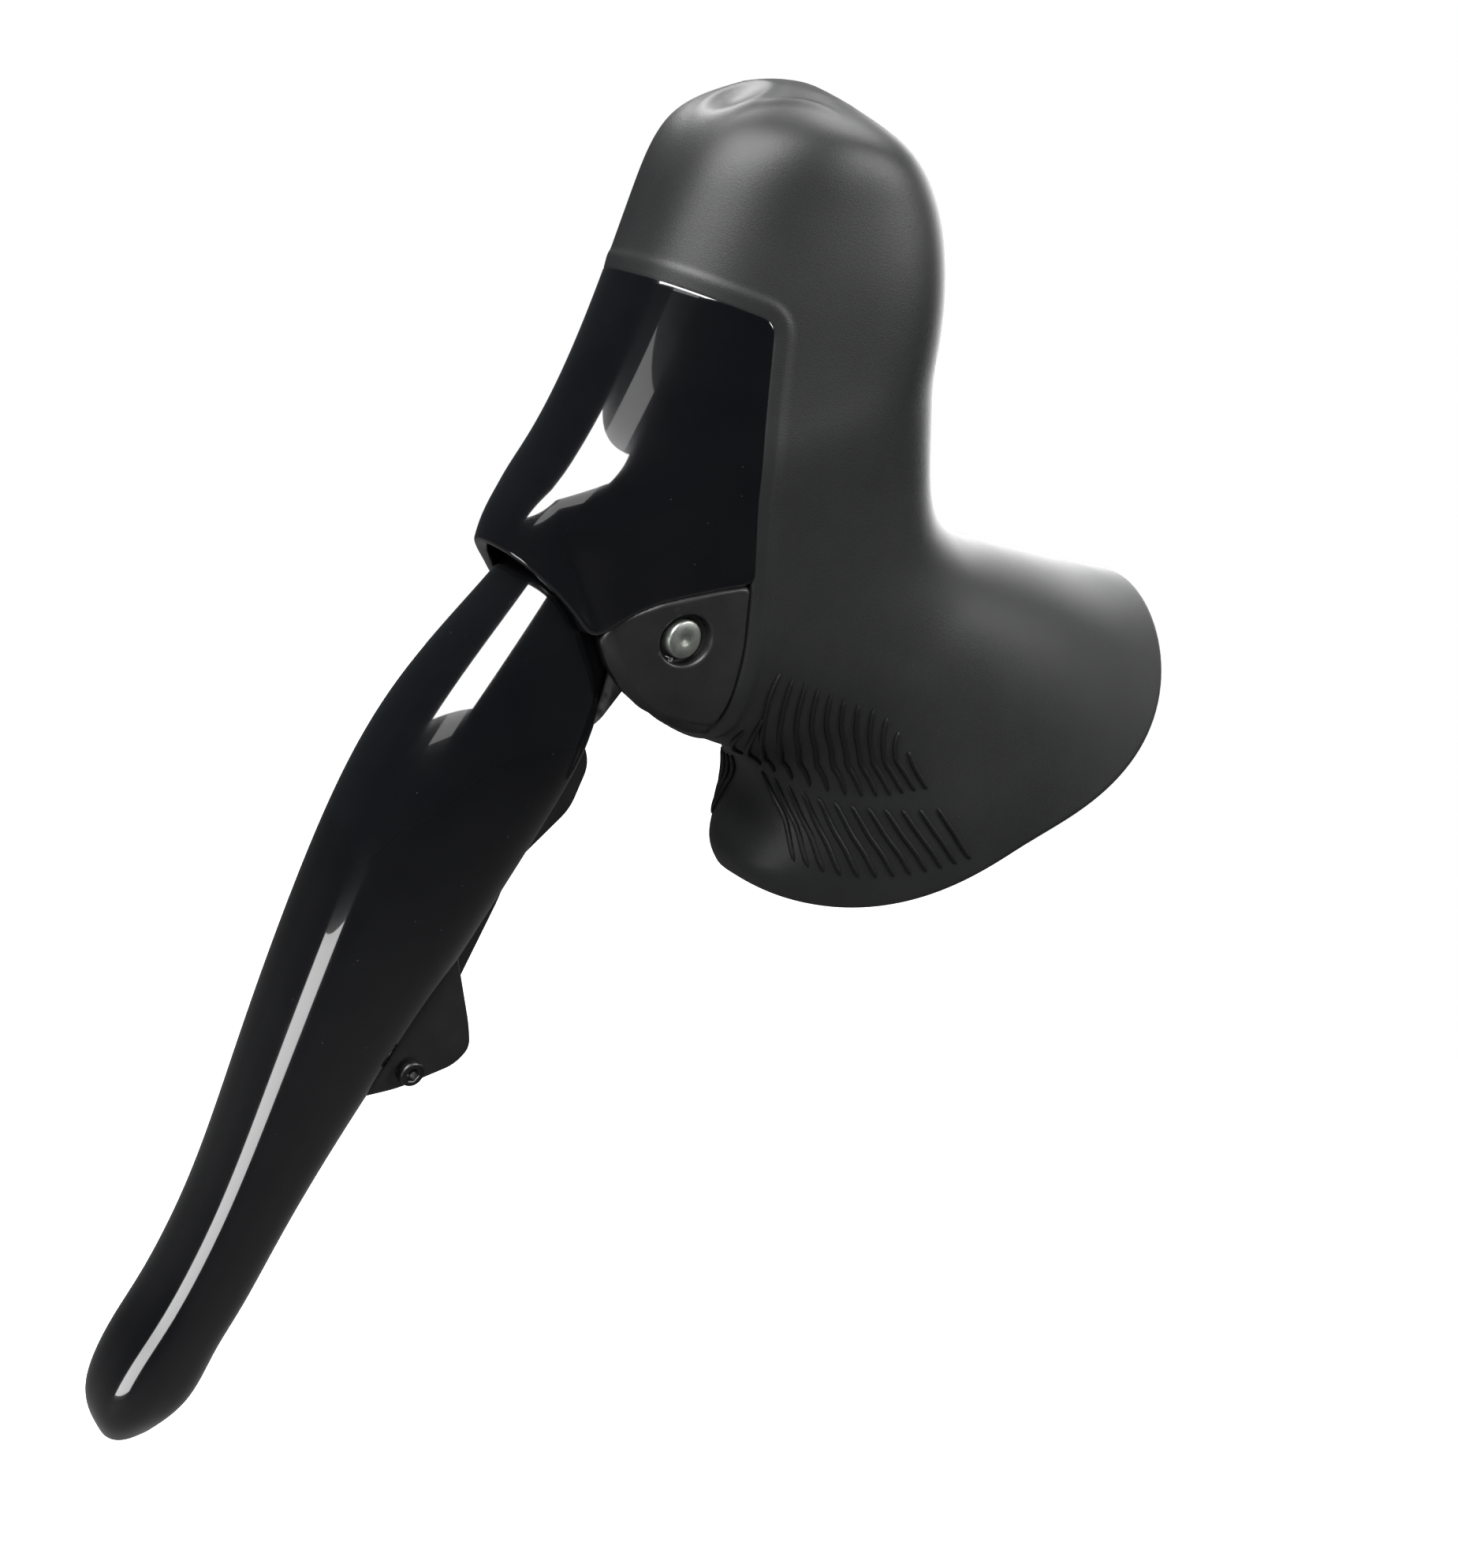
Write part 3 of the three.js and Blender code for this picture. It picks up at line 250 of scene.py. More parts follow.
finishes = {
    "hood_rubber": makeFinish("hood_rubber", ((0.0030, 0.0032, 0.0034, 1), (0.0048, 0.0050, 0.0052, 1)),
                              (0.42, 0.52), 5200.0, 0.000018, blotchScale=38.0, specks=0.06, specular=0.34),
    "gloss_black": makeFinish("gloss_black", ((0.0010, 0.0011, 0.0014, 1), (0.0016, 0.0017, 0.0020, 1)),
                              (0.10, 0.17), 900.0, 0.0000006, coat=1.0, coatRough=0.02, specular=0.2,
                              blotchScale=90.0, specks=0.10),
    "matte_resin": makeFinish("matte_resin", (grey(0.0035), grey(0.0055)), (0.36, 0.48), 4200.0, 0.00002,
                              blotchScale=120.0, specular=0.34, worn=grey(0.05), wornAmount=0.35),
    "seal_rubber": makeFinish("seal_rubber", (grey(0.010), grey(0.016)), (0.6, 0.75), 3800.0, 0.00002),
    "steel": makeFinish("steel", ((0.20, 0.215, 0.195, 1), (0.30, 0.315, 0.285, 1)), (0.34, 0.52),
                        2600.0, 0.000006, metallic=1.0, blotchScale=260.0, worn=grey(0.7), wornAmount=0.4),
    "dark_steel": makeFinish("dark_steel", (grey(0.035), grey(0.055)), (0.30, 0.45), 2600.0, 0.000008,
                             metallic=1.0, blotchScale=260.0, worn=grey(0.35), wornAmount=0.4),
    "alloy": makeFinish("alloy", (grey(0.055), grey(0.08)), (0.34, 0.5), 3000.0, 0.00001,
                        metallic=0.8, blotchScale=160.0, worn=grey(0.4), wornAmount=0.4),
    "brass": makeFinish("brass", ((0.55, 0.38, 0.14, 1), (0.66, 0.47, 0.20, 1)), (0.22, 0.4),
                        2600.0, 0.000005, metallic=1.0, blotchScale=240.0, worn=(0.8, 0.62, 0.3, 1),
                        wornAmount=0.3),
    "board": makeFinish("board", ((0.010, 0.045, 0.022, 1), (0.014, 0.062, 0.030, 1)), (0.3, 0.45), 2400.0,
                        0.00001, blotchScale=300.0),
}
print("finishes ready:", len(finishes))


# Mesh tools.
def smoothRows(rows):
    # Natural cubic curve through evenly spaced rows of numbers.
    data = np.array(rows, float)
    last = len(data) - 1
    left = np.zeros((last + 1, last + 1))
    right = np.zeros_like(data)
    left[0, 0] = left[last, last] = 1
    for i in range(1, last):
        left[i, i - 1:i + 2] = (1, 4, 1)
        right[i] = 6 * (data[i - 1] - 2 * data[i] + data[i + 1])
    bend = np.linalg.solve(left, right)

    def at(t):
        t = np.clip(np.asarray(t, float), 0, 1) * last
        i = np.minimum(t.astype(int), last - 1)
        f = (t - i)[..., None]
        g = 1 - f
        return g * data[i] + f * data[i + 1] + ((g ** 3 - g) * bend[i] + (f ** 3 - f) * bend[i + 1]) / 6

    return at


def cornered(angle, power):
    # Point on a rounded square of half side 1, at an angle from its first axis.
    c, s = np.cos(angle), np.sin(angle)
    r = (np.abs(c) ** power + np.abs(s) ** power) ** (-1 / power)
    return r * c, r * s


def roundedOutline(points, radius, steps=6):
    # Closed outline with each corner swapped for a short curve.
    corners = np.array(points, float)
    out = []
    for i, corner in enumerate(corners):
        before, after = corners[i - 1] - corner, corners[(i + 1) % len(corners)] - corner
        a, b = np.linalg.norm(before), np.linalg.norm(after)
        cut = min(radius, a / 2.2, b / 2.2)
        start, end = corner + before / a * cut, corner + after / b * cut
        for k in range(steps + 1):
            f = k / steps
            out.append((1 - f) ** 2 * start + 2 * f * (1 - f) * corner + f * f * end)
    return np.array(out)


def outlineDistance(outline, y, z):
    # Distance to a closed outline, below zero inside it.
    p = np.stack([np.ravel(y), np.ravel(z)], -1)
    best = np.full(len(p), np.inf)
    inside = np.zeros(len(p), bool)
    for a, b in zip(outline, np.roll(outline, -1, 0)):
        run = b - a
        length = run @ run
        if length < 1e-16:
            continue
        f = np.clip((p - a) @ run / length, 0, 1)
        best = np.minimum(best, np.linalg.norm(p - a - f[:, None] * run, axis=1))
        crosses = (a[1] > p[:, 1]) != (b[1] > p[:, 1])
        reach = a[0] + (p[:, 1] - a[1]) / (run[1] if run[1] else 1e-12) * run[0]
        inside ^= crosses & (p[:, 0] < reach)
    return np.where(inside, -best, best).reshape(np.shape(y))


def gridFaces(rows, columns):
    a = (np.arange(rows - 1)[:, None] * columns + np.arange(columns - 1)[None, :]).ravel()
    return np.stack([a, a + 1, a + columns + 1, a + columns], -1).tolist()


def capFaces(start, count, pole):
    return [[start + k, start + k + 1, pole] for k in range(count - 1)]


def welded(points, faces):
    # Merges points that fall together and drops faces that vanish.
    points = np.array(points, float)
    keys = np.round(points / 2e-7).astype(np.int64)
    _, first, back = np.unique(keys, axis=0, return_index=True, return_inverse=True)
    back = back.ravel()
    out = []
    for face in faces:
        ids = [int(back[i]) for i in face]
        ids = [v for k, v in enumerate(ids) if v != ids[k - 1]]
        if len(set(ids)) > 2:
            out.append(ids)
    return points[first], out


def faceNormal(points, face):
    if len(face) == 4:
        return np.cross(points[face[2]] - points[face[0]], points[face[3]] - points[face[1]]) / 2
    a = points[face]
    return sum(np.cross(a[k] - a[0], a[k + 1] - a[0]) for k in range(1, len(face) - 1)) / 2


def thickened(points, faces, wall, lip, inside, steps=5):
    # Gives an open skin a wall towards its inside and rolls its free edges over by the lip radius.
    points, faces = welded(points, faces)
    normals = np.array([faceNormal(points, f) for f in faces])
    centres = np.array([points[f].mean(0) for f in faces])
    if (normals * (centres - np.array(inside))).sum() < 0:
        faces = [f[::-1] for f in faces]
        normals = -normals
    count = len(points)
    bent = np.zeros_like(points)
    owner = {}
    for f, n in zip(faces, normals):
        for k, v in enumerate(f):
            bent[v] += n
            owner[(f[k - 1], v)] = n
    bent /= np.maximum(np.linalg.norm(bent, axis=1), 1e-20)[:, None]
    border = [(a, b, n) for (a, b), n in owner.items() if (b, a) not in owner]
    away = np.zeros_like(points)
    for a, b, n in border:
        side = np.cross(points[b] - points[a], n)
        side /= max(np.linalg.norm(side), 1e-20)
        away[a] += side
        away[b] += side
    edge = sorted({v for a, b, _ in border for v in (a, b)})
    away[edge] -= (away[edge] * bent[edge]).sum(1)[:, None] * bent[edge]
    away[edge] /= np.maximum(np.linalg.norm(away[edge], axis=1), 1e-20)[:, None]
    wall = wall(points) if callable(wall) else np.full(count, wall)
    allPoints = [points, points - bent * wall[:, None]]
    slotOf = {v: i for i, v in enumerate(edge)}
    quarter = [k / steps * math.pi / 2 for k in range(1, steps + 1)]
    turns = [(math.sin(angle), 1 - math.cos(angle)) for angle in quarter]
    levels = []
    edgeWall = wall[edge]
    for outward, down in turns:
        levels.append(points[edge] + away[edge] * outward * lip - bent[edge] * down * lip)
    for outward, down in turns[::-1][1:] + [(0, 0)]:
        depth = (edgeWall - down * lip)[:, None]
        levels.append(points[edge] + away[edge] * outward * lip - bent[edge] * depth)
    base = count * 2
    for level in levels[:-1]:
        allPoints.append(level)
    allFaces = [list(f) for f in faces] + [[v + count for v in f[::-1]] for f in faces]
    chain = [lambda v: v]
    for k in range(len(levels) - 1):
        chain.append(lambda v, k=k: base + k * len(edge) + slotOf[v])
    chain.append(lambda v: v + count)
    for a, b, _ in border:
        for near, far in zip(chain, chain[1:]):
            allFaces.append([near(b), near(a), far(a), far(b)])
    return np.concatenate(allPoints), allFaces


def makePiece(name, points, faces, finish, body, slotName=None, stands=()):
    mesh = bpy.data.meshes.new(name)
    mesh.from_pydata([tuple(p) for p in points], [], faces)
    mesh.validate()
    mesh.shade_smooth()
    return placed(name, mesh, finish, body, stands)


def placed(name, mesh, finish, body, stands=()):
    mesh.materials.clear()
    mesh.materials.append(finishes[finish])
    piece = bpy.data.objects.new(name, mesh)
    bpy.context.scene.collection.objects.link(piece)
    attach(piece, body)
    if stands:
        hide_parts(*stands)
    return piece


def plateMesh(outline, x0, x1, edge, steps=4):
    # Plate drawn in the side view, thick across the lever, with its rims rounded over.
    ring = np.array(outline, float)
    area = 0.5 * np.sum(ring[:, 0] * np.roll(ring[:, 1], -1) - np.roll(ring[:, 0], -1) * ring[:, 1])
    if area < 0:
        ring = ring[::-1]
    ahead = np.roll(ring, -1, 0) - ring
    behind = ring - np.roll(ring, 1, 0)
    run = ahead / np.maximum(np.linalg.norm(ahead, axis=1), 1e-12)[:, None]
    run += behind / np.maximum(np.linalg.norm(behind, axis=1), 1e-12)[:, None]
    run /= np.maximum(np.linalg.norm(run, axis=1), 1e-12)[:, None]
    outward = np.stack([run[:, 1], -run[:, 0]], -1)
    profile = [(edge * 2.2, 0), (edge, 0)]
    for k in range(1, steps + 1):
        a = k / steps * math.pi / 2
        profile.append((edge * (1 - math.sin(a)), edge * (1 - math.cos(a))))
    levels = [(inset, x0 + depth) for inset, depth in profile]
    levels += [(inset, x1 - depth) for inset, depth in profile[::-1]]
    points = []
    count = len(ring)
    for inset, x in levels:
        flat = ring - outward * inset
        points.append(np.column_stack([np.full(count, x), flat]))
    faces = []
    for r in range(len(levels) - 1):
        for k in range(count):
            n = (k + 1) % count
            faces.append([r * count + k, r * count + n, (r + 1) * count + n, (r + 1) * count + k])
    faces.append(list(range(count))[::-1])
    faces.append([(len(levels) - 1) * count + k for k in range(count)])
    return np.concatenate(points), faces


def turnedMesh(profile, origin, axis, sides=48, across=(0, 0, 1)):
    # Turned piece. The profile gives radius, height and, for a socket, 1 where the ring is six sided.
    axis = np.array(Vector(axis).normalized())
    first = np.cross(np.cross(axis, across), axis)
    first /= np.linalg.norm(first)
    second = np.cross(axis, first)
    angle = np.arange(sides) / sides * 2 * math.pi
    six = 1 / np.cos((angle + math.pi / 6) % (math.pi / 3) - math.pi / 6)
    points, faces = [], []
    for entry in profile:
        r = entry[0] * (six if len(entry) > 2 and entry[2] else np.ones(sides))
        flat = np.cos(angle)[:, None] * first + np.sin(angle)[:, None] * second
        points.append(np.array(origin) + flat * r[:, None] + axis * entry[1])
    for r in range(len(profile) - 1):
        for k in range(sides):
            n = (k + 1) % sides
            faces.append([r * sides + k, r * sides + n, (r + 1) * sides + n, (r + 1) * sides + k])
    points = np.concatenate(points)
    ends = [np.array(origin) + axis * profile[0][1], np.array(origin) + axis * profile[-1][1]]
    start = len(points)
    points = np.concatenate([points, ends])
    last = (len(profile) - 1) * sides
    for k in range(sides):
        n = (k + 1) % sides
        faces.append([n, k, start])
        faces.append([last + k, last + n, start + 1])
    return points, faces


def joined(*parts):
    points, faces, base = [], [], 0
    for some, more in parts:
        points.append(some)
        faces += [[v + base for v in f] for f in more]
        base += len(some)
    return np.concatenate(points), faces


# Outer form of the grip.
grip = {
    # top point, low point, half width, side shift, corner power, taper, rear spread, in mm
    "stations": [
        [31.5, 35.8, -22, -20.0, 20.0, 5.0, -10.5, 2.2, 0.10, 15, -4],
        [23, 35.0, -24.4, -16.4, 19.0, 3.5, -7, 2.3, 0.10, 10, -3],
        [10, 34.0, -23.9, -9.8, 17.6, 1.2, -3, 2.4, 0.06, 4, 0],
        [-2, 33.3, -28.3, -3.8, 16.6, 0, 0, 2.4, 0.0, 0, 0],
        [-10, 33.6, -36.6, -2.2, 16.0, 0, 0, 2.5, 0.03, 0, 0],
        [-17, 35.5, -46, -1.5, 15.6, 0, 0, 2.8, 0.06, 0, 0],
        [-22, 40, -57.5, -1, 15.3, 0, 0, 3.1, 0.12, 0, 0],
        [-25, 46, -68.6, 6, 15.1, 0, 0, 3.0, 0.20, 0, 0],
        [-27, 51.0, -75.6, 15.6, 15.1, 0, 0, 2.7, 0.28, 0, 0],
        [-28.5, 55, -73.8, 25, 15.1, 0, 0, 2.7, 0.28, 0, 0],
        [-30.5, 60, -71.4, 35, 15.2, 0, 0, 2.7, 0.26, 0, 0],
        [-33, 65.0, -70.2, 46, 15.2, 0, 0, 2.6, 0.22, 0, 0],
        [-36.5, 69.5, -69.5, 57, 14.8, 0, 0, 2.5, 0.16, 0, 0],
        [-42, 73.0, -67.5, 66.5, 13.2, 0, 0, 2.3, 0.08, 0, 0],
        [-49, 74.6, -61, 73.0, 7.0, 0, 0, 2.1, 0.0, 0, 0],
    ],
    "opening": [[-95, 48.05], [-58.1, 48.05], [-56.9, 43.5], [-54.5, 34.5], [-52.7, 28.5], [-49.0, 19.4],
                [-46.4, 12], [-45, 6], [-42.6, -1], [-42, -12], [-95, -12]],
    "openingRadius": 2.0,
    "wall": 2.2,
    "lip": 0.75,
    "borderWidth": 2.6,      # raised border round the front opening
    "borderHeight": 0.32,
    "columns": 92,
    "rows": 300,
    "rearLag": 0.80,         # how far the back line lags as the grid climbs round the opening
    "topLead": 0.30,
    "domeRows": 9,
    "spot": {"at": (1.2, -64.2), "radius": 3.3, "depth": 0.9, "rim": 0.2,
             "creaseFrom": (4.5, -65.6), "creaseTo": (10.2, -57.0), "creaseRise": 0.3},
}
gripRow = smoothRows(grip["stations"])


def gripPoint(t, angle):
    # Point on the outer form, angle from the top round to the front, in mm.
    topY, topZ, lowY, lowZ, half, sideY, sideZ, power, taper, rearY, rearZ = np.moveaxis(gripRow(t), -1, 0)
    c, s = cornered(angle, power)
    side = s * s
    rear = side * (c + np.sqrt(c * c + 0.02)) / 2
    x = half * s * (1 + taper * c)
    y = (topY + lowY) / 2 + (topY - lowY) / 2 * c + sideY * side + rearY * rear
    z = (topZ + lowZ) / 2 + (topZ - lowZ) / 2 * c + sideZ * side + rearZ * rear
    return np.stack([x, y, z], -1)


def gripPlace(y, z):
    # Row and angle of a side view point on the straight-sided front half of the form.
    y, z = np.asarray(y, float), np.asarray(z, float)
    low, high = np.full(y.shape, 0.27), np.full(y.shape, 0.90)

    def beside(t):
        row = gripRow(t)
        across = row[..., 0] - row[..., 2]
        rise = row[..., 1] - row[..., 3]
        return (y - row[..., 2]) * rise - (z - row[..., 3]) * across

    for _ in range(44):
        mid = (low + high) / 2
        ahead = beside(mid) > 0
        low, high = np.where(ahead, low, mid), np.where(ahead, mid, high)
    row = gripRow(mid)
    run = np.stack([row[..., 0] - row[..., 2], row[..., 1] - row[..., 3]], -1)
    along = ((y - row[..., 2]) * run[..., 0] + (z - row[..., 3]) * run[..., 1]) / (run ** 2).sum(-1)
    c = np.clip(along * 2 - 1, -1, 1)
    s = (1 - np.abs(c) ** row[..., 7]) ** (1 / row[..., 7])
    return mid, np.arctan2(s, c)


opening = roundedOutline(grip["opening"], grip["openingRadius"])


def domed(rings, count):
    # Closes the last ring of a skin with a dome that carries on its slope.
    ring, before = rings[-1], rings[-2]
    run = ring - before
    run /= np.linalg.norm(run, axis=1)[:, None]
    middle = ring[:-1].mean(0)
    reach = np.linalg.norm(ring - middle, axis=1)[:, None] * 0.5
    knee = ring + run * reach
    top = knee[:-1].mean(0)
    out = []
    for k in range(1, count):
        f = k / count
        out.append((1 - f) ** 2 * ring + 2 * f * (1 - f) * (knee * 0.75 + top * 0.25) + f * f * top)
    return out, top


def skinned(point, bottom, backLine, columns, domeRows):
    # Grid over a form from its back line to a bottom path of (row, angle), closed by a dome at its end.
    share = np.arange(-columns, columns + 1) / columns
    blend = share ** 2
    tt = backLine[:, None] * (1 - blend) + bottom[:, :1] * blend
    aa = bottom[:, 1:] * share
    rings = point(tt, aa)
    rings[:, [0, -1]] = np.where((bottom[:, 1] > math.pi - 1e-9)[:, None, None],
                                 rings[:, [0, -1]].mean(1, keepdims=True), rings[:, [0, -1]])
    width = len(share)
    faces = gridFaces(len(rings), width)
    extra, top = domed(rings, domeRows)
    flat = np.concatenate([rings.reshape(-1, 3)] + extra + [[top]])
    before = (len(rings) - 1) * width
    for k in range(len(extra)):
        now = (len(rings) + k) * width
        faces += [[before + j, before + j + 1, now + j + 1, now + j] for j in range(width - 1)]
        before = now
    faces += capFaces(before, width, len(flat) - 1)
    return flat, faces


def alongBottom(point, pieces, rows):
    # Evenly spaced rows along a bottom path given in pieces, and where each piece ends.
    whole = np.concatenate(pieces)
    solid = point(whole[:, 0], whole[:, 1])
    along = np.concatenate([[0], np.cumsum(np.linalg.norm(np.diff(solid, axis=0), axis=1))])
    ends = np.cumsum([len(piece) for piece in pieces])
    marks = [0.0]
    spots = []
    for end in ends:
        here = along[min(end, len(along)) - 1]
        count = max(2, round(rows * (here - marks[-1]) / along[-1]))
        spots.append(np.linspace(marks[-1], here, count + 1)[1:])
        marks.append(here)
    spots = np.concatenate([[0.0]] + spots)
    path = np.stack([np.interp(spots, along, whole[:, i]) for i in range(2)], -1)
    return path, spots, marks


def buildHood():
    scan = np.linspace(0, 1, 4001)
    low = gripPoint(scan, np.full(4001, math.pi))
    cut = np.where(outlineDistance(opening, low[:, 1], low[:, 2]) < 0)[0]
    tOpen, tShut = scan[cut[0]], scan[cut[-1]]
    rows = tOpen + (tShut - tOpen) * (1 - np.cos(np.linspace(0, math.pi, 700))) / 2
    sweep = np.linspace(0, math.pi, 721)
    tt, aa = np.meshgrid(rows, sweep, indexing="ij")
    probe = gripPoint(tt, aa)
    away = outlineDistance(opening, probe[..., 1], probe[..., 2])
    edge = np.full(len(rows), math.pi)
    for i in range(1, len(rows) - 1):
        k = np.where(away[i] < 0)[0][0]
        edge[i] = sweep[k - 1] + away[i, k - 1] / (away[i, k - 1] - away[i, k]) * (sweep[k] - sweep[k - 1])
    rear = np.stack([np.linspace(0, tOpen, 200), np.full(200, math.pi)], -1)
    climb = np.stack([rows, edge], -1)[1:]
    top = np.stack([np.linspace(tShut, 1, 100), np.full(100, math.pi)], -1)[1:]
    bottom, spots, marks = alongBottom(gripPoint, [rear, climb, top], grip["rows"])
    knots = [0, tOpen * grip["rearLag"], tShut + (1 - tShut) * grip["topLead"], 1]
    backLine = np.interp(spots, marks, knots)
    smooth = np.ones(21) / 21
    eased = np.convolve(np.pad(backLine, 10, mode="reflect", reflect_type="odd"), smooth, mode="valid")
    flat, faces = skinned(gripPoint, bottom, eased, grip["columns"], grip["domeRows"])
    return shapedHood(flat), faces


def bump(distance, width):
    f = np.clip(1 - distance / width, 0, 1)
    return f * f * (3 - 2 * f)


def shapedHood(points):
    # Raised border round the front opening, the soft spot over the top button and its crease.
    away = np.abs(outlineDistance(opening, points[:, 1], points[:, 2]))
    border = bump(np.abs(away - 1.1), grip["borderWidth"] / 2)
    centre = np.array([0, -48.0, 24.0])
    outward = points - centre
    outward[:, 1] *= 0.3
    outward /= np.linalg.norm(outward, axis=1)[:, None]
    near = (points[:, 1] < -38) & (points[:, 2] > -4)
    points = points + outward * (border * near * grip["borderHeight"])[:, None]
    spot = grip["spot"]
    flat = np.hypot(points[:, 0] - spot["at"][0], points[:, 1] - spot["at"][1])
    down = spot["depth"] * bump(flat, spot["radius"]) - spot["rim"] * bump(np.abs(flat - spot["radius"]), 1.4)
    start, end = np.array(spot["creaseFrom"]), np.array(spot["creaseTo"])
    run = end - start
    along = np.clip((points[:, :2] - start) @ run / (run @ run), 0, 1)
    apart = np.linalg.norm(points[:, :2] - start - along[:, None] * run, axis=1)
    down -= spot["creaseRise"] * bump(apart, 1.0) * np.sin(np.pi * np.clip(along * 0.9 + 0.05, 0, 1))
    points[:, 2] -= np.where(points[:, 2] > 60, down, 0)
    return points


hoodPoints, hoodFaces = buildHood()
hoodPoints, hoodFaces = thickened(hoodPoints * mm, hoodFaces, grip["wall"] * mm, grip["lip"] * mm,
                                  (0, -0.030, 0.020))
hood = makePiece("rubber_hood", hoodPoints, hoodFaces, "hood_rubber", "bracket", stands=["hood"])
print("hood:", len(hoodFaces), "faces")


# Grip ribs on both flanks.
ribs = {
    # a rib is a run of (row, angle) places on the form, from its top to its end
    "topmost": [
        [(0.33, 2.42), (0.305, 2.63), (0.265, 2.88), (0.24, 2.96)],
        [(0.34, 2.25), (0.31, 2.46), (0.25, 2.84), (0.215, 2.90)],
    ],
    # of an evenly stepped set, only the first, the middle and the last rib are given
    "upper": [
        [(0.385, 1.95), (0.345, 2.215), (0.24, 2.75), (0.205, 2.80)],
        [(0.305, 1.94), (0.255, 2.18), (0.20, 2.335), (0.16, 2.30)],
        [(0.20, 1.95), (0.19, 2.00), (0.175, 2.03), (0.135, 1.97)],
    ],
    "last": [[(0.175, 1.95), (0.163, 1.95), (0.152, 1.94), (0.13, 1.91)]],
    "lower": [
        [(0.20, 2.95), (0.18, 2.92), (0.16, 2.85), (0.135, 2.74), (0.085, 2.61)],
        [(0.155, 2.37), (0.135, 2.32), (0.11, 2.26), (0.082, 2.20), (0.048, 2.17)],
        [(0.105, 1.88), (0.088, 1.86), (0.068, 1.84), (0.047, 1.83), (0.024, 1.82)],
    ],
    "upperCount": 10,
    "lowerCount": 12,
    "radius": 0.36,
    "proud": 0.10,
    "sides": 12,
    "steps": 34,
}


# The ribs get a darker rubber than the hood: painted shade standing in for the shadow along each raised rib,
# though the grip is one rubber.
finishes["rib_rubber_painted_shade"] = makeFinish("rib_rubber_painted_shade", (grey(0.0012), grey(0.002)), (0.46, 0.58), 5200.0, 0.000012,
                                    blotchScale=38.0, specular=0.22)


def ribTree():
    # Round ribs along loose lines; each line's ends are drawn down to a point.
    tree = bpy.data.node_groups.new("grip_ribs", "GeometryNodeTree")
    tree.interface.new_socket("Lines", in_out="INPUT", socket_type="NodeSocketGeometry")
    for label, kind in (("Rib Radius", "NodeSocketFloat"), ("Sides", "NodeSocketInt"),
                        ("Finish", "NodeSocketMaterial")):
        tree.interface.new_socket(label, in_out="INPUT", socket_type=kind)
    tree.interface.new_socket("Ribs", in_out="OUTPUT", socket_type="NodeSocketGeometry")
    given, out = tree.nodes.new("NodeGroupInput"), tree.nodes.new("NodeGroupOutput")
    lines = addNode(tree, "GeometryNodeMeshToCurve", {"Mesh": given.outputs["Lines"]})
    spot = addNode(tree, "GeometryNodeSplineParameter")
    fall = addNode(tree, "ShaderNodeFloatCurve", {"Value": spot.outputs["Factor"]})
    curve = fall.mapping.curves[0]
    for x, y in ((0.0, 0.15), (0.10, 0.85), (0.5, 1.0), (0.90, 0.85), (1.0, 0.15)):
        if x in (0.0, 1.0):
            curve.points[0 if x == 0.0 else -1].location = (x, y)
        else:
            curve.points.new(x, y)
    fall.mapping.update()
    sized = addNode(tree, "GeometryNodeSetCurveRadius", {"Curve": lines.outputs["Curve"],
                                                          "Radius": fall.outputs["Value"]})
    ring = addNode(tree, "GeometryNodeCurvePrimitiveCircle", {"Resolution": given.outputs["Sides"],
                                                               "Radius": given.outputs["Rib Radius"]})
    tube = addNode(tree, "GeometryNodeCurveToMesh", {"Curve": sized.outputs["Curve"],
                                                      "Profile Curve": ring.outputs["Curve"],
                                                      "Fill Caps": True, "Scale": fall.outputs["Value"]})
    real = addNode(tree, "GeometryNodeRealizeInstances", {"Geometry": tube.outputs["Mesh"]})
    done = addNode(tree, "GeometryNodeSetMaterial", {"Geometry": real.outputs["Geometry"],
                                                      "Material": given.outputs["Finish"]})
    tree.links.new(done.outputs["Geometry"], out.inputs["Ribs"])
    return tree


def steppedRibs(guides, count):
    # Ribs stepped evenly from the first guide, through the middle one, to the last.
    places = [smoothRows(place)(np.linspace(0, 1, count)) for place in zip(*guides)]
    return list(np.stack(places, axis=1))


def ribLine(places, side):
    # Smooth run through the given places, lying on the form; a bent rib keeps its elbow.
    if len(places) == 4:
        upper = smoothRows(places[:3])(np.linspace(0, 1, ribs["steps"] * 2 // 3))
        low = np.linspace(places[2], places[3], ribs["steps"] // 3 + 1)[1:]
        row = np.concatenate([upper[:-1], (upper[-1:] * 2 + upper[-3:-2] + low[:1]) / 4, low])
    else:
        row = smoothRows(places)(np.linspace(0, 1, ribs["steps"]))
    here = gripPoint(row[:, 0], row[:, 1])
    ahead = gripPoint(row[:, 0] + 0.002, row[:, 1]) - gripPoint(row[:, 0] - 0.002, row[:, 1])
    round_ = gripPoint(row[:, 0], row[:, 1] + 0.01) - gripPoint(row[:, 0], row[:, 1] - 0.01)
    out = np.cross(ahead, round_)
    out /= np.linalg.norm(out, axis=1)[:, None]
    out *= np.sign(out[:, :1])
    return (here + out * ribs["proud"]) * np.array([side, 1, 1]) * mm


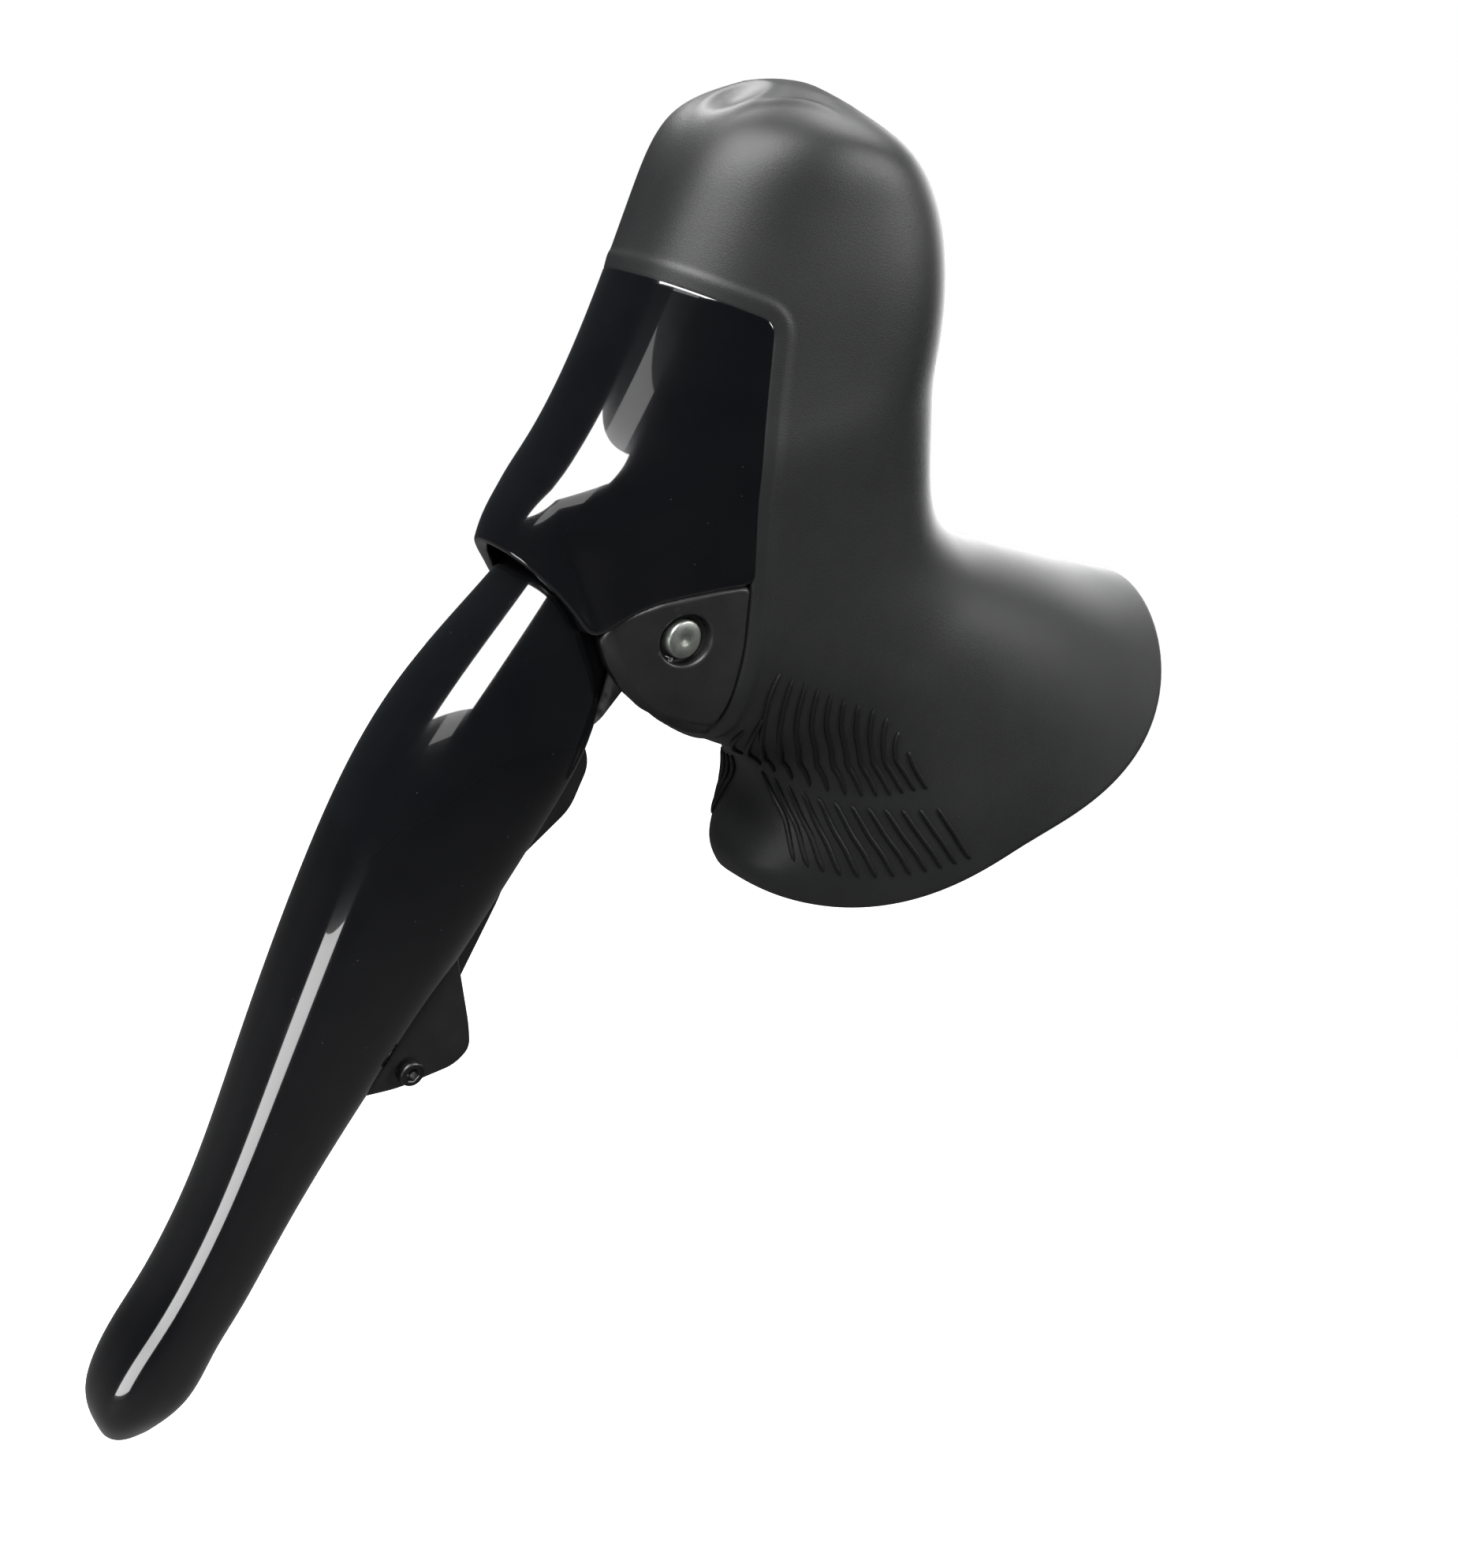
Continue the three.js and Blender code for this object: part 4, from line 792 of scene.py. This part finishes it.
def buildRibs(name, side):
    mesh = bpy.data.meshes.new(name)
    points, edges = [], []
    upper = ribs["topmost"] + steppedRibs(ribs["upper"], ribs["upperCount"]) + ribs["last"]
    for places in upper + steppedRibs(ribs["lower"], ribs["lowerCount"]):
        line = ribLine(places, side)
        edges += [(len(points) + k, len(points) + k + 1) for k in range(len(line) - 1)]
        points += [tuple(p) for p in line]
    mesh.from_pydata(points, edges, [])
    lines = bpy.data.objects.new(name, mesh)
    bpy.context.scene.collection.objects.link(lines)
    tree = ribTree()
    maker = lines.modifiers.new("ribs", "NODES")
    maker.node_group = tree
    sockets = {item.name: item.identifier for item in tree.interface.items_tree if item.in_out == "INPUT"}
    maker[sockets["Rib Radius"]] = ribs["radius"] * mm
    maker[sockets["Sides"]] = ribs["sides"]
    maker[sockets["Finish"]] = finishes["rib_rubber_painted_shade"]
    bpy.context.view_layer.update()
    solid = bpy.data.meshes.new_from_object(lines.evaluated_get(bpy.context.evaluated_depsgraph_get()))
    lines.modifiers.remove(maker)
    bpy.data.objects.remove(lines)
    solid.shade_smooth()
    return placed(name, solid, "rib_rubber_painted_shade", "bracket")


for word, side in (("inner", 1), ("outer", -1)):
    made = buildRibs(f"grip_ribs_{word}", side)
    print("ribs", word, len(made.data.polygons), "faces")


# Gloss front cover.
cover = {
    "outline": [[-95, 47.7], [-58.7, 47.7], [-57.5, 43.5], [-55.1, 34.5], [-53.3, 28.5], [-49.7, 19.8],
                [-53.4, 18.2], [-56.8, 16.5], [-59.8, 14.8], [-62.2, 12.9], [-64.0, 10.9], [-65.2, 8.9],
                [-67.6, 10.7], [-70.4, 12.5], [-73.4, 14.1], [-76.2, 15.5], [-95, 16.4]],
    "radius": 1.1,
    "wall": 1.8,
    "lip": 0.55,
    "flare": 1.1,
    "flareReach": 8.5,
    "across": 84,
    "up": 96,
}


def coverEdges():
    # Rounded outline of the cover, the rows where the form's middle line enters and leaves it, and the side
    # view points there.
    outline = roundedOutline(cover["outline"], cover["radius"], 8)
    front = gripPoint(np.linspace(0.3, 0.95, 4001), np.full(4001, math.pi))
    inside = np.where(outlineDistance(outline, front[:, 1], front[:, 2]) < 0)[0]
    t = np.linspace(0.3, 0.95, 4001)
    tLow, tHigh = t[inside[0]], t[inside[-1]]
    lowMiddle = front[inside[0], 1:]
    highMiddle = front[inside[-1], 1:]
    return outline, tLow, tHigh, lowMiddle, highMiddle


def walked(path, count):
    # Evenly spaced points along a line of points.
    step = np.linalg.norm(np.diff(path, axis=0), axis=1)
    along = np.concatenate([[0], np.cumsum(step)])
    want = np.linspace(0, along[-1], count)
    return np.stack([np.interp(want, along, path[:, i]) for i in range(path.shape[1])], -1)


def placedPath(path):
    # Side view path turned into rows and angles, evenly spaced over the surface.
    t, angle = gripPlace(path[:, 0], path[:, 1])
    solid = gripPoint(t, angle)
    step = np.linalg.norm(np.diff(solid, axis=0), axis=1)
    return np.stack([t, angle], -1), np.concatenate([[0], np.cumsum(step)])


def evenly(pairs, along, count):
    want = np.linspace(0, along[-1], count)
    return np.stack([np.interp(want, along, pairs[:, i]) for i in range(2)], -1)


def buildCover():
    outline, tLow, tHigh, lowMiddle, highMiddle = coverEdges()
    dense = walked(np.concatenate([outline, outline[:1]]), 6000)
    seam = dense[(dense[:, 0] > lowMiddle[0] - 0.01)]
    corner = np.argmax(seam[:, 0])
    low = seam[corner:][seam[corner:, 1] < 30]
    low = low[low[:, 0] > lowMiddle[0]][::-1]
    low = np.concatenate([[lowMiddle], low])
    rest = seam[:corner + 1]
    bend = np.argmin(np.linalg.norm(rest - np.array([-58.5, 47.4]), axis=1))
    top = rest[:bend + 1]
    top = top[top[:, 0] > highMiddle[0]]
    top = np.concatenate([[highMiddle], top])
    rear = rest[bend:][::-1]
    return low, top, rear, tLow, tHigh


def coverGrid():
    low, top, rear, tLow, tHigh = buildCover()
    across, up = cover["across"] + 1, cover["up"] + 1
    lowPairs, lowAlong = placedPath(walkedDense(low))
    topPairs, topAlong = placedPath(walkedDense(top))
    rearPairs, rearAlong = placedPath(walkedDense(rear))
    lowPairs[0] = (tLow, math.pi)
    topPairs[0] = (tHigh, math.pi)
    b0 = evenly(lowPairs, lowAlong, across)
    b1 = evenly(topPairs, topAlong, across)
    middleT = np.linspace(tLow, tHigh, 800)
    middle = gripPoint(middleT, np.full(800, math.pi))
    run = np.concatenate([[0], np.cumsum(np.linalg.norm(np.diff(middle, axis=0), axis=1))])
    c0 = np.stack([np.interp(np.linspace(0, run[-1], up), run, middleT), np.full(up, math.pi)], -1)
    c1 = evenly(rearPairs, rearAlong, up)
    a = np.linspace(0, 1, across)[None, :, None]
    b = np.linspace(0, 1, up)[:, None, None]
    patch = (1 - b) * b0[None] + b * b1[None] + (1 - a) * c0[:, None] + a * c1[:, None]
    patch -= (1 - a) * (1 - b) * b0[0] + a * (1 - b) * b0[-1] + (1 - a) * b * b1[0] + a * b * b1[-1]
    half = gripPoint(patch[..., 0], patch[..., 1])
    half[:, 0, 0] = 0
    # The lower lip flares out, and the flare dies away towards the ears.
    climb = np.cumsum(np.linalg.norm(np.diff(half, axis=0, prepend=half[:1]), axis=2), axis=0)
    fall = np.clip(1 - climb / cover["flareReach"], 0, 1) ** 2
    fade = np.clip((-60.5 - half[:1, :, 1]) / 7, 0, 1)
    outward = np.cross(np.gradient(half, axis=0), np.gradient(half, axis=1))
    outward /= np.maximum(np.linalg.norm(outward, axis=2), 1e-9)[..., None]
    outward *= np.where((outward * (half - np.array([0, -50, 25]))).sum(-1) < 0, -1, 1)[..., None]
    half += outward * (cover["flare"] * fall * fade * fade * (3 - 2 * fade))[..., None]
    half[:, 0, 0] = 0
    other = half[:, :0:-1] * np.array([-1, 1, 1])
    return np.concatenate([other, half], 1)


def walkedDense(path):
    return walked(path, 1500)


coverPoints = coverGrid()
coverFaces = gridFaces(coverPoints.shape[0], coverPoints.shape[1])
coverPoints, coverFaces = thickened(coverPoints.reshape(-1, 3) * mm, coverFaces, cover["wall"] * mm,
                                    cover["lip"] * mm, (0, -0.050, 0.030))
makePiece("front_shell", coverPoints, coverFaces, "gloss_black", "bracket", stands=["front_cover"])
print("front shell:", len(coverFaces), "faces")


# Ears that carry the lever pin.
ear = {
    "outline": [[-49.6, 19.2], [-53.4, 17.7], [-56.8, 16.0], [-59.8, 14.3], [-62.1, 12.4], [-63.7, 10.6],
                [-64.8, 8.3], [-62.3, 5.4], [-59, 3.0], [-55.2, 1.3], [-50, 0.3], [-44.2, 0.0], [-45.7, 6],
                [-47.1, 12]],
    "radius": 0.9,
    "pin": (-55, 11),
    "recess": 3.15,
    "recessDepth": 1.0,
    "innerX": 10.2,
    "rays": 144,
    "rings": 26,
    "edge": 0.6,
}


def buildEar(side):
    outline = roundedOutline(ear["outline"], ear["radius"], 8)
    pin = np.array(ear["pin"])
    angles = np.arange(ear["rays"]) / ear["rays"] * 2 * math.pi
    reach = []
    for a in angles:
        ray = np.array([math.cos(a), math.sin(a)])
        best = 1e9
        for p, q in zip(outline, np.roll(outline, -1, 0)):
            run = q - p
            det = ray[0] * -run[1] + ray[1] * run[0]
            if abs(det) < 1e-12:
                continue
            gapTo = p - pin
            along = (gapTo[0] * -run[1] + gapTo[1] * run[0]) / det
            f = (ray[0] * gapTo[1] - ray[1] * gapTo[0]) / det
            if along > 0 and -1e-9 <= f <= 1 + 1e-9:
                best = min(best, along)
        reach.append(best)
    reach = np.array(reach)
    ray = np.stack([np.cos(angles), np.sin(angles)], -1)
    levels = []          # each ring: distance from the pin centre, drop below the surface
    recess, depth, edge = ear["recess"], ear["recessDepth"], ear["edge"]
    for r, d in [(2.0, depth + 0.5), (recess - 0.35, depth + 0.5), (recess - 0.12, depth + 0.4),
                 (recess, depth + 0.1), (recess, 0.35), (recess + 0.1, 0.12), (recess + 0.3, 0)]:
        levels.append((np.full(len(angles), r), d))
    for k in range(1, ear["rings"] + 1):
        f = k / ear["rings"]
        levels.append((recess + 0.3 + (reach - edge - recess - 0.3) * f, 0))
    for k in range(1, 6):
        a = k / 5 * math.pi / 2
        levels.append((reach - edge + edge * math.sin(a), edge * (1 - math.cos(a))))
    points = []
    for radius, down in levels:
        flat = pin + ray * radius[:, None]
        t, angle = gripPlace(flat[:, 0], flat[:, 1])
        x = gripPoint(t, angle)[:, 0]
        points.append(np.column_stack([side * (x - down), flat]))
    rim = points[-1].copy()
    rim[:, 0] = side * ear["innerX"]
    points.append(rim)
    count = len(angles)
    faces = []
    for r in range(len(points) - 1):
        for k in range(count):
            n = (k + 1) % count
            face = [r * count + k, r * count + n, (r + 1) * count + n, (r + 1) * count + k]
            faces.append(face[::-1] if side > 0 else face)
    inner, outer = list(range(count)), [(len(points) - 1) * count + k for k in range(count)]
    faces.append(inner if side > 0 else inner[::-1])
    faces.append(outer[::-1] if side > 0 else outer)
    return np.concatenate(points) * mm, faces


for word, side in (("inner", 1), ("outer", -1)):
    makePiece(f"pivot_ear_{word}", *buildEar(side), "matte_resin", "bracket")
print("ears ready")

pin = {"radius": 2.35, "half": 12.7, "chamfer": 0.3, "dimple": 0.7}
pinProfile = [(0.02, -pin["half"] + 0.25), (pin["dimple"], -pin["half"] + 0.02),
              (pin["dimple"] + 0.15, -pin["half"]), (pin["radius"] - pin["chamfer"], -pin["half"]),
              (pin["radius"] - 0.1, -pin["half"] + 0.1),
              (pin["radius"], -pin["half"] + pin["chamfer"]), (pin["radius"], 0)]
pinProfile += [(r, -h) for r, h in pinProfile[-2::-1]]
pinProfile = [(r * mm, h * mm) for r, h in pinProfile]
makePiece("pivot_pin", *turnedMesh(pinProfile, (0, -0.055, 0.011), (1, 0, 0), 64), "steel", "bracket",
          stands=["lever_axle"])


# Brake blade.
bladeSizes = {
    # front point, rear point, half width, side shift, in mm
    "stations": [
        [-70.6, 16.2, -57, 14.5, 6.4, 0],
        [-74.2, 8.5, -57, 2, 8, 0],
        [-79.3, -3, -57.2, -7, 9.5, -0.3],
        [-82.9, -16, -60, -18, 9.6, -0.5],
        [-84.3, -32, -64.6, -34, 9.15, -1.15],
        [-84.7, -50, -69.6, -51, 8.15, -2.05],
        [-85.2, -68, -73.9, -68, 7, -2.7],
        [-86.8, -82, -75.9, -80.5, 6.8, -3.8],
        [-88.6, -90, -77.3, -88, 6.8, -4.6],
        [-89.4, -97.5, -78.2, -94.7, 6.2, -5.1],
        [-87.2, -102.1, -80.6, -99.6, 3.9, -5.4],
    ],
    "power": 2.7,
    "wall": 2.0,
    "lip": 0.7,
    "openAngle": 140,
    "openFull": 0.50,
    "openEnd": 0.66,
    "columns": 64,
    "rows": 220,
    "domeRows": 10,
}
bladeRow = smoothRows(bladeSizes["stations"])


def bladePoint(t, angle):
    frontY, frontZ, rearY, rearZ, half, shift = np.moveaxis(bladeRow(t), -1, 0)
    c, s = cornered(angle, bladeSizes["power"])
    return np.stack([shift + half * s, (frontY + rearY) / 2 + (frontY - rearY) / 2 * c,
                     (frontZ + rearZ) / 2 + (frontZ - rearZ) / 2 * c], -1)


def buildBlade():
    full, end = bladeSizes["openFull"], bladeSizes["openEnd"]
    wide = math.radians(180 - bladeSizes["openAngle"])
    straight = np.stack([np.linspace(0, full, 200), np.full(200, math.pi - wide)], -1)
    f = np.linspace(0, 1, 201)[1:]
    closing = np.stack([full + (end - full) * np.sin(f * math.pi / 2),
                        math.pi - wide * np.cos(f * math.pi / 2)], -1)
    tip = np.stack([np.linspace(end, 1, 101)[1:], np.full(100, math.pi)], -1)
    closing[-1, 1] = math.pi
    bottom, spots, marks = alongBottom(bladePoint, [straight, closing, tip], bladeSizes["rows"])
    backLine = np.interp(spots, marks, [0, full, end + (1 - end) * 0.16, 1])
    return skinned(bladePoint, bottom, backLine, bladeSizes["columns"], bladeSizes["domeRows"])


def bladeWall(points):
    thin = np.clip((points[:, 2] / mm + 99) / 12, 0.25, 1)
    return bladeSizes["wall"] * mm * thin


bladePoints, bladeFaces = buildBlade()
bladePoints, bladeFaces = thickened(bladePoints * mm, bladeFaces, bladeWall, bladeSizes["lip"] * mm,
                                    (-0.001, -0.073, -0.040))
makePiece("brake_blade", bladePoints, bladeFaces, "gloss_black", "brake_lever", stands=["lever_blade"])
print("blade:", len(bladeFaces), "faces")


# Switch housing, its screw and the two shift buttons.
switch = {
    "fin": [[-68, -24.6], [-67.6, -29.5], [-60.3, -42.5], [-59, -45.6], [-60.6, -48], [-67.6, -51.4],
            [-75.5, -53.5], [-80, -52], [-80, -24.6]],
    "finX": (-1.9, 4.3),
    "head": [[-61.6, -6.2], [-58, -5], [-54.4, -6], [-52.8, -8.6], [-53.4, -14.5], [-58.6, -22],
             [-62.5, -30], [-66.5, -40], [-74, -40], [-78, -30], [-70, -24.6], [-65.4, -13.6]],
    "headX": (-1.9, 0.9),
    "radius": 1.6,
    "edge": 0.55,
    "screw": (4.4, -67.4, -48.6),
}
housing = joined(
    plateMesh(roundedOutline(switch["fin"], switch["radius"]) * mm, *[x * mm for x in switch["finX"]],
              switch["edge"] * mm),
    plateMesh(roundedOutline(switch["head"], switch["radius"]) * mm, *[x * mm for x in switch["headX"]],
              switch["edge"] * mm),
)
makePiece("switch_case", *housing, "matte_resin", "brake_lever", stands=["switch_housing"])

screwProfile = [(0.3, 0.3, 1), (0.72, 0.35, 1), (0.75, 1.35, 1), (0.80, 1.5, 1), (1.3, 1.5), (1.5, 1.42),
                (1.6, 1.2), (1.6, 0.1), (1.5, 0), (0.8, 0), (0.8, -5), (0.1, -5)]
screwMesh = turnedMesh([(e[0] * mm, e[1] * mm) + tuple(e[2:]) for e in screwProfile],
                       [v * mm for v in switch["screw"]], (1, 0, 0), 48)
makePiece("case_screw", *screwMesh, "dark_steel", "brake_lever", stands=["switch_screw"])

buttons = {
    "front_shift_button": [[-60.9, -8.6], [-64, -18], [-67.8, -34], [-70.4, -46.5], [-66.4, -48],
                           [-63.2, -35.5], [-60, -20], [-57.6, -8.6]],
    "rear_shift_button": [[-57.1, -8.6], [-59.6, -20], [-62.8, -35.5], [-65.1, -45], [-60, -46.4],
                          [-57.4, -43], [-55, -29], [-54.3, -15], [-54.3, -8.6]],
}
for node, outline in buttons.items():
    key = plateMesh(roundedOutline(outline, 1.4) * mm, -0.0074, -0.0048, 0.0006)
    makePiece(node.replace("_button", "_key"), *key, "matte_resin", node, stands=[node])
print("switch pieces ready")


# Softened copies of moulded and cast CAD pieces.
def softened(node, name, finish, body, width, angle=30, reshape=None):
    mesh = nodes[node].data.copy()
    mesh.name = name
    shape = bmesh.new()
    shape.from_mesh(mesh)
    bmesh.ops.remove_doubles(shape, verts=shape.verts, dist=1e-6)
    bmesh.ops.dissolve_limit(shape, angle_limit=math.radians(2), verts=shape.verts, edges=shape.edges)
    if reshape:
        for v in shape.verts:
            v.co = reshape(v.co)
    sharp = [e for e in shape.edges if len(e.link_faces) == 2 and e.calc_face_angle(0) > math.radians(angle)]
    bmesh.ops.bevel(shape, geom=sharp, offset=width, segments=2, affect="EDGES", clamp_overlap=True)
    shape.to_mesh(mesh)
    shape.free()
    mesh.shade_smooth()
    mesh.set_sharp_from_angle(angle=math.radians(40))
    return placed(name, mesh, finish, body, stands=[node])


def pulledIn(co):
    # The core stays under the ears, which lie over it.
    if abs(co.x) > 0.0112 and co.z < 0.022:
        return Vector((math.copysign(0.0112 + (abs(co.x) - 0.0112) * 0.25, co.x), co.y, co.z))
    return co


softened("bracket_body", "bracket_core", "matte_resin", "bracket", 0.0002, reshape=pulledIn)
softened("lever_base", "lever_carrier", "alloy", "brake_lever", 0.0003)
softened("clamp_band", "clamp_strap", "steel", "bracket", 0.0002)
print("softened copies ready")


# CAD nodes that stay.
nodeFinish = {
    "steel": ["lid_screw_upper", "lid_screw_lower", "top_switch", "bleed_screw", "coin_cell", "clamp_nut",
              "clamp_bolt", "hose_nut", "hose_insert", "axle_grub_screw", "push_rod", "bore_circlip",
              "piston_spring", "return_spring", "reach_screw", "blade_screw_upper", "blade_screw_lower",
              "switch_pin"],
    "matte_resin": ["reservoir_lid", "top_button", "battery_cover", "axle_bush_inner", "axle_bush_outer"],
    "seal_rubber": ["reservoir_diaphragm", "bleed_screw_oring", "rear_seal", "pressure_seal"],
    "alloy": ["piston"],
    "brass": ["hose_olive"],
    "board": ["circuit_board", "switch_board"],
}
for finish, names in nodeFinish.items():
    for name in names:
        for place in nodes[name].material_slots:
            place.material = finishes[finish]

# Floor.
floorZ = cadBox[0][2] - 0.42
floorHalf = 3
floorCorners = [(x * floorHalf, y * floorHalf, floorZ) for x, y in ((-1, -1), (1, -1), (1, 1), (-1, 1))]
floorMesh = bpy.data.meshes.new("studio_floor")
floorMesh.from_pydata(floorCorners, [], [(0, 1, 2, 3)])
floor = bpy.data.objects.new("studio_floor", floorMesh)
bpy.context.scene.collection.objects.link(floor)
paper = bpy.data.materials.new("pale_paper")
paper.use_nodes = True
paperNoise = addNode(paper.node_tree, "ShaderNodeTexNoise", {"Scale": 30.0, "Detail": 3.0})
paperTone = addNode(paper.node_tree, "ShaderNodeMix", {0: paperNoise.outputs["Fac"], 6: (0.86, 0.86, 0.86, 1),
                                                        7: (0.90, 0.90, 0.90, 1)}, data_type="RGBA")
path = addNode(paper.node_tree, "ShaderNodeLightPath")
paperTone = addNode(paper.node_tree, "ShaderNodeMix", {0: path.outputs["Is Glossy Ray"],
                                                        6: paperTone.outputs[2],
                                                        7: (0.05, 0.05, 0.05, 1)}, data_type="RGBA")
paper.node_tree.links.new(paperTone.outputs[2], paper.node_tree.nodes["Principled BSDF"].inputs["Base Color"])
paperShader = paper.node_tree.nodes["Principled BSDF"]
paperShader.inputs["Roughness"].default_value = 0.8
paperShader.inputs["Emission Color"].default_value = (1, 1, 1, 1)
paper.node_tree.links.new(path.outputs["Is Camera Ray"], paperShader.inputs["Emission Strength"])
floorMesh.materials.append(paper)
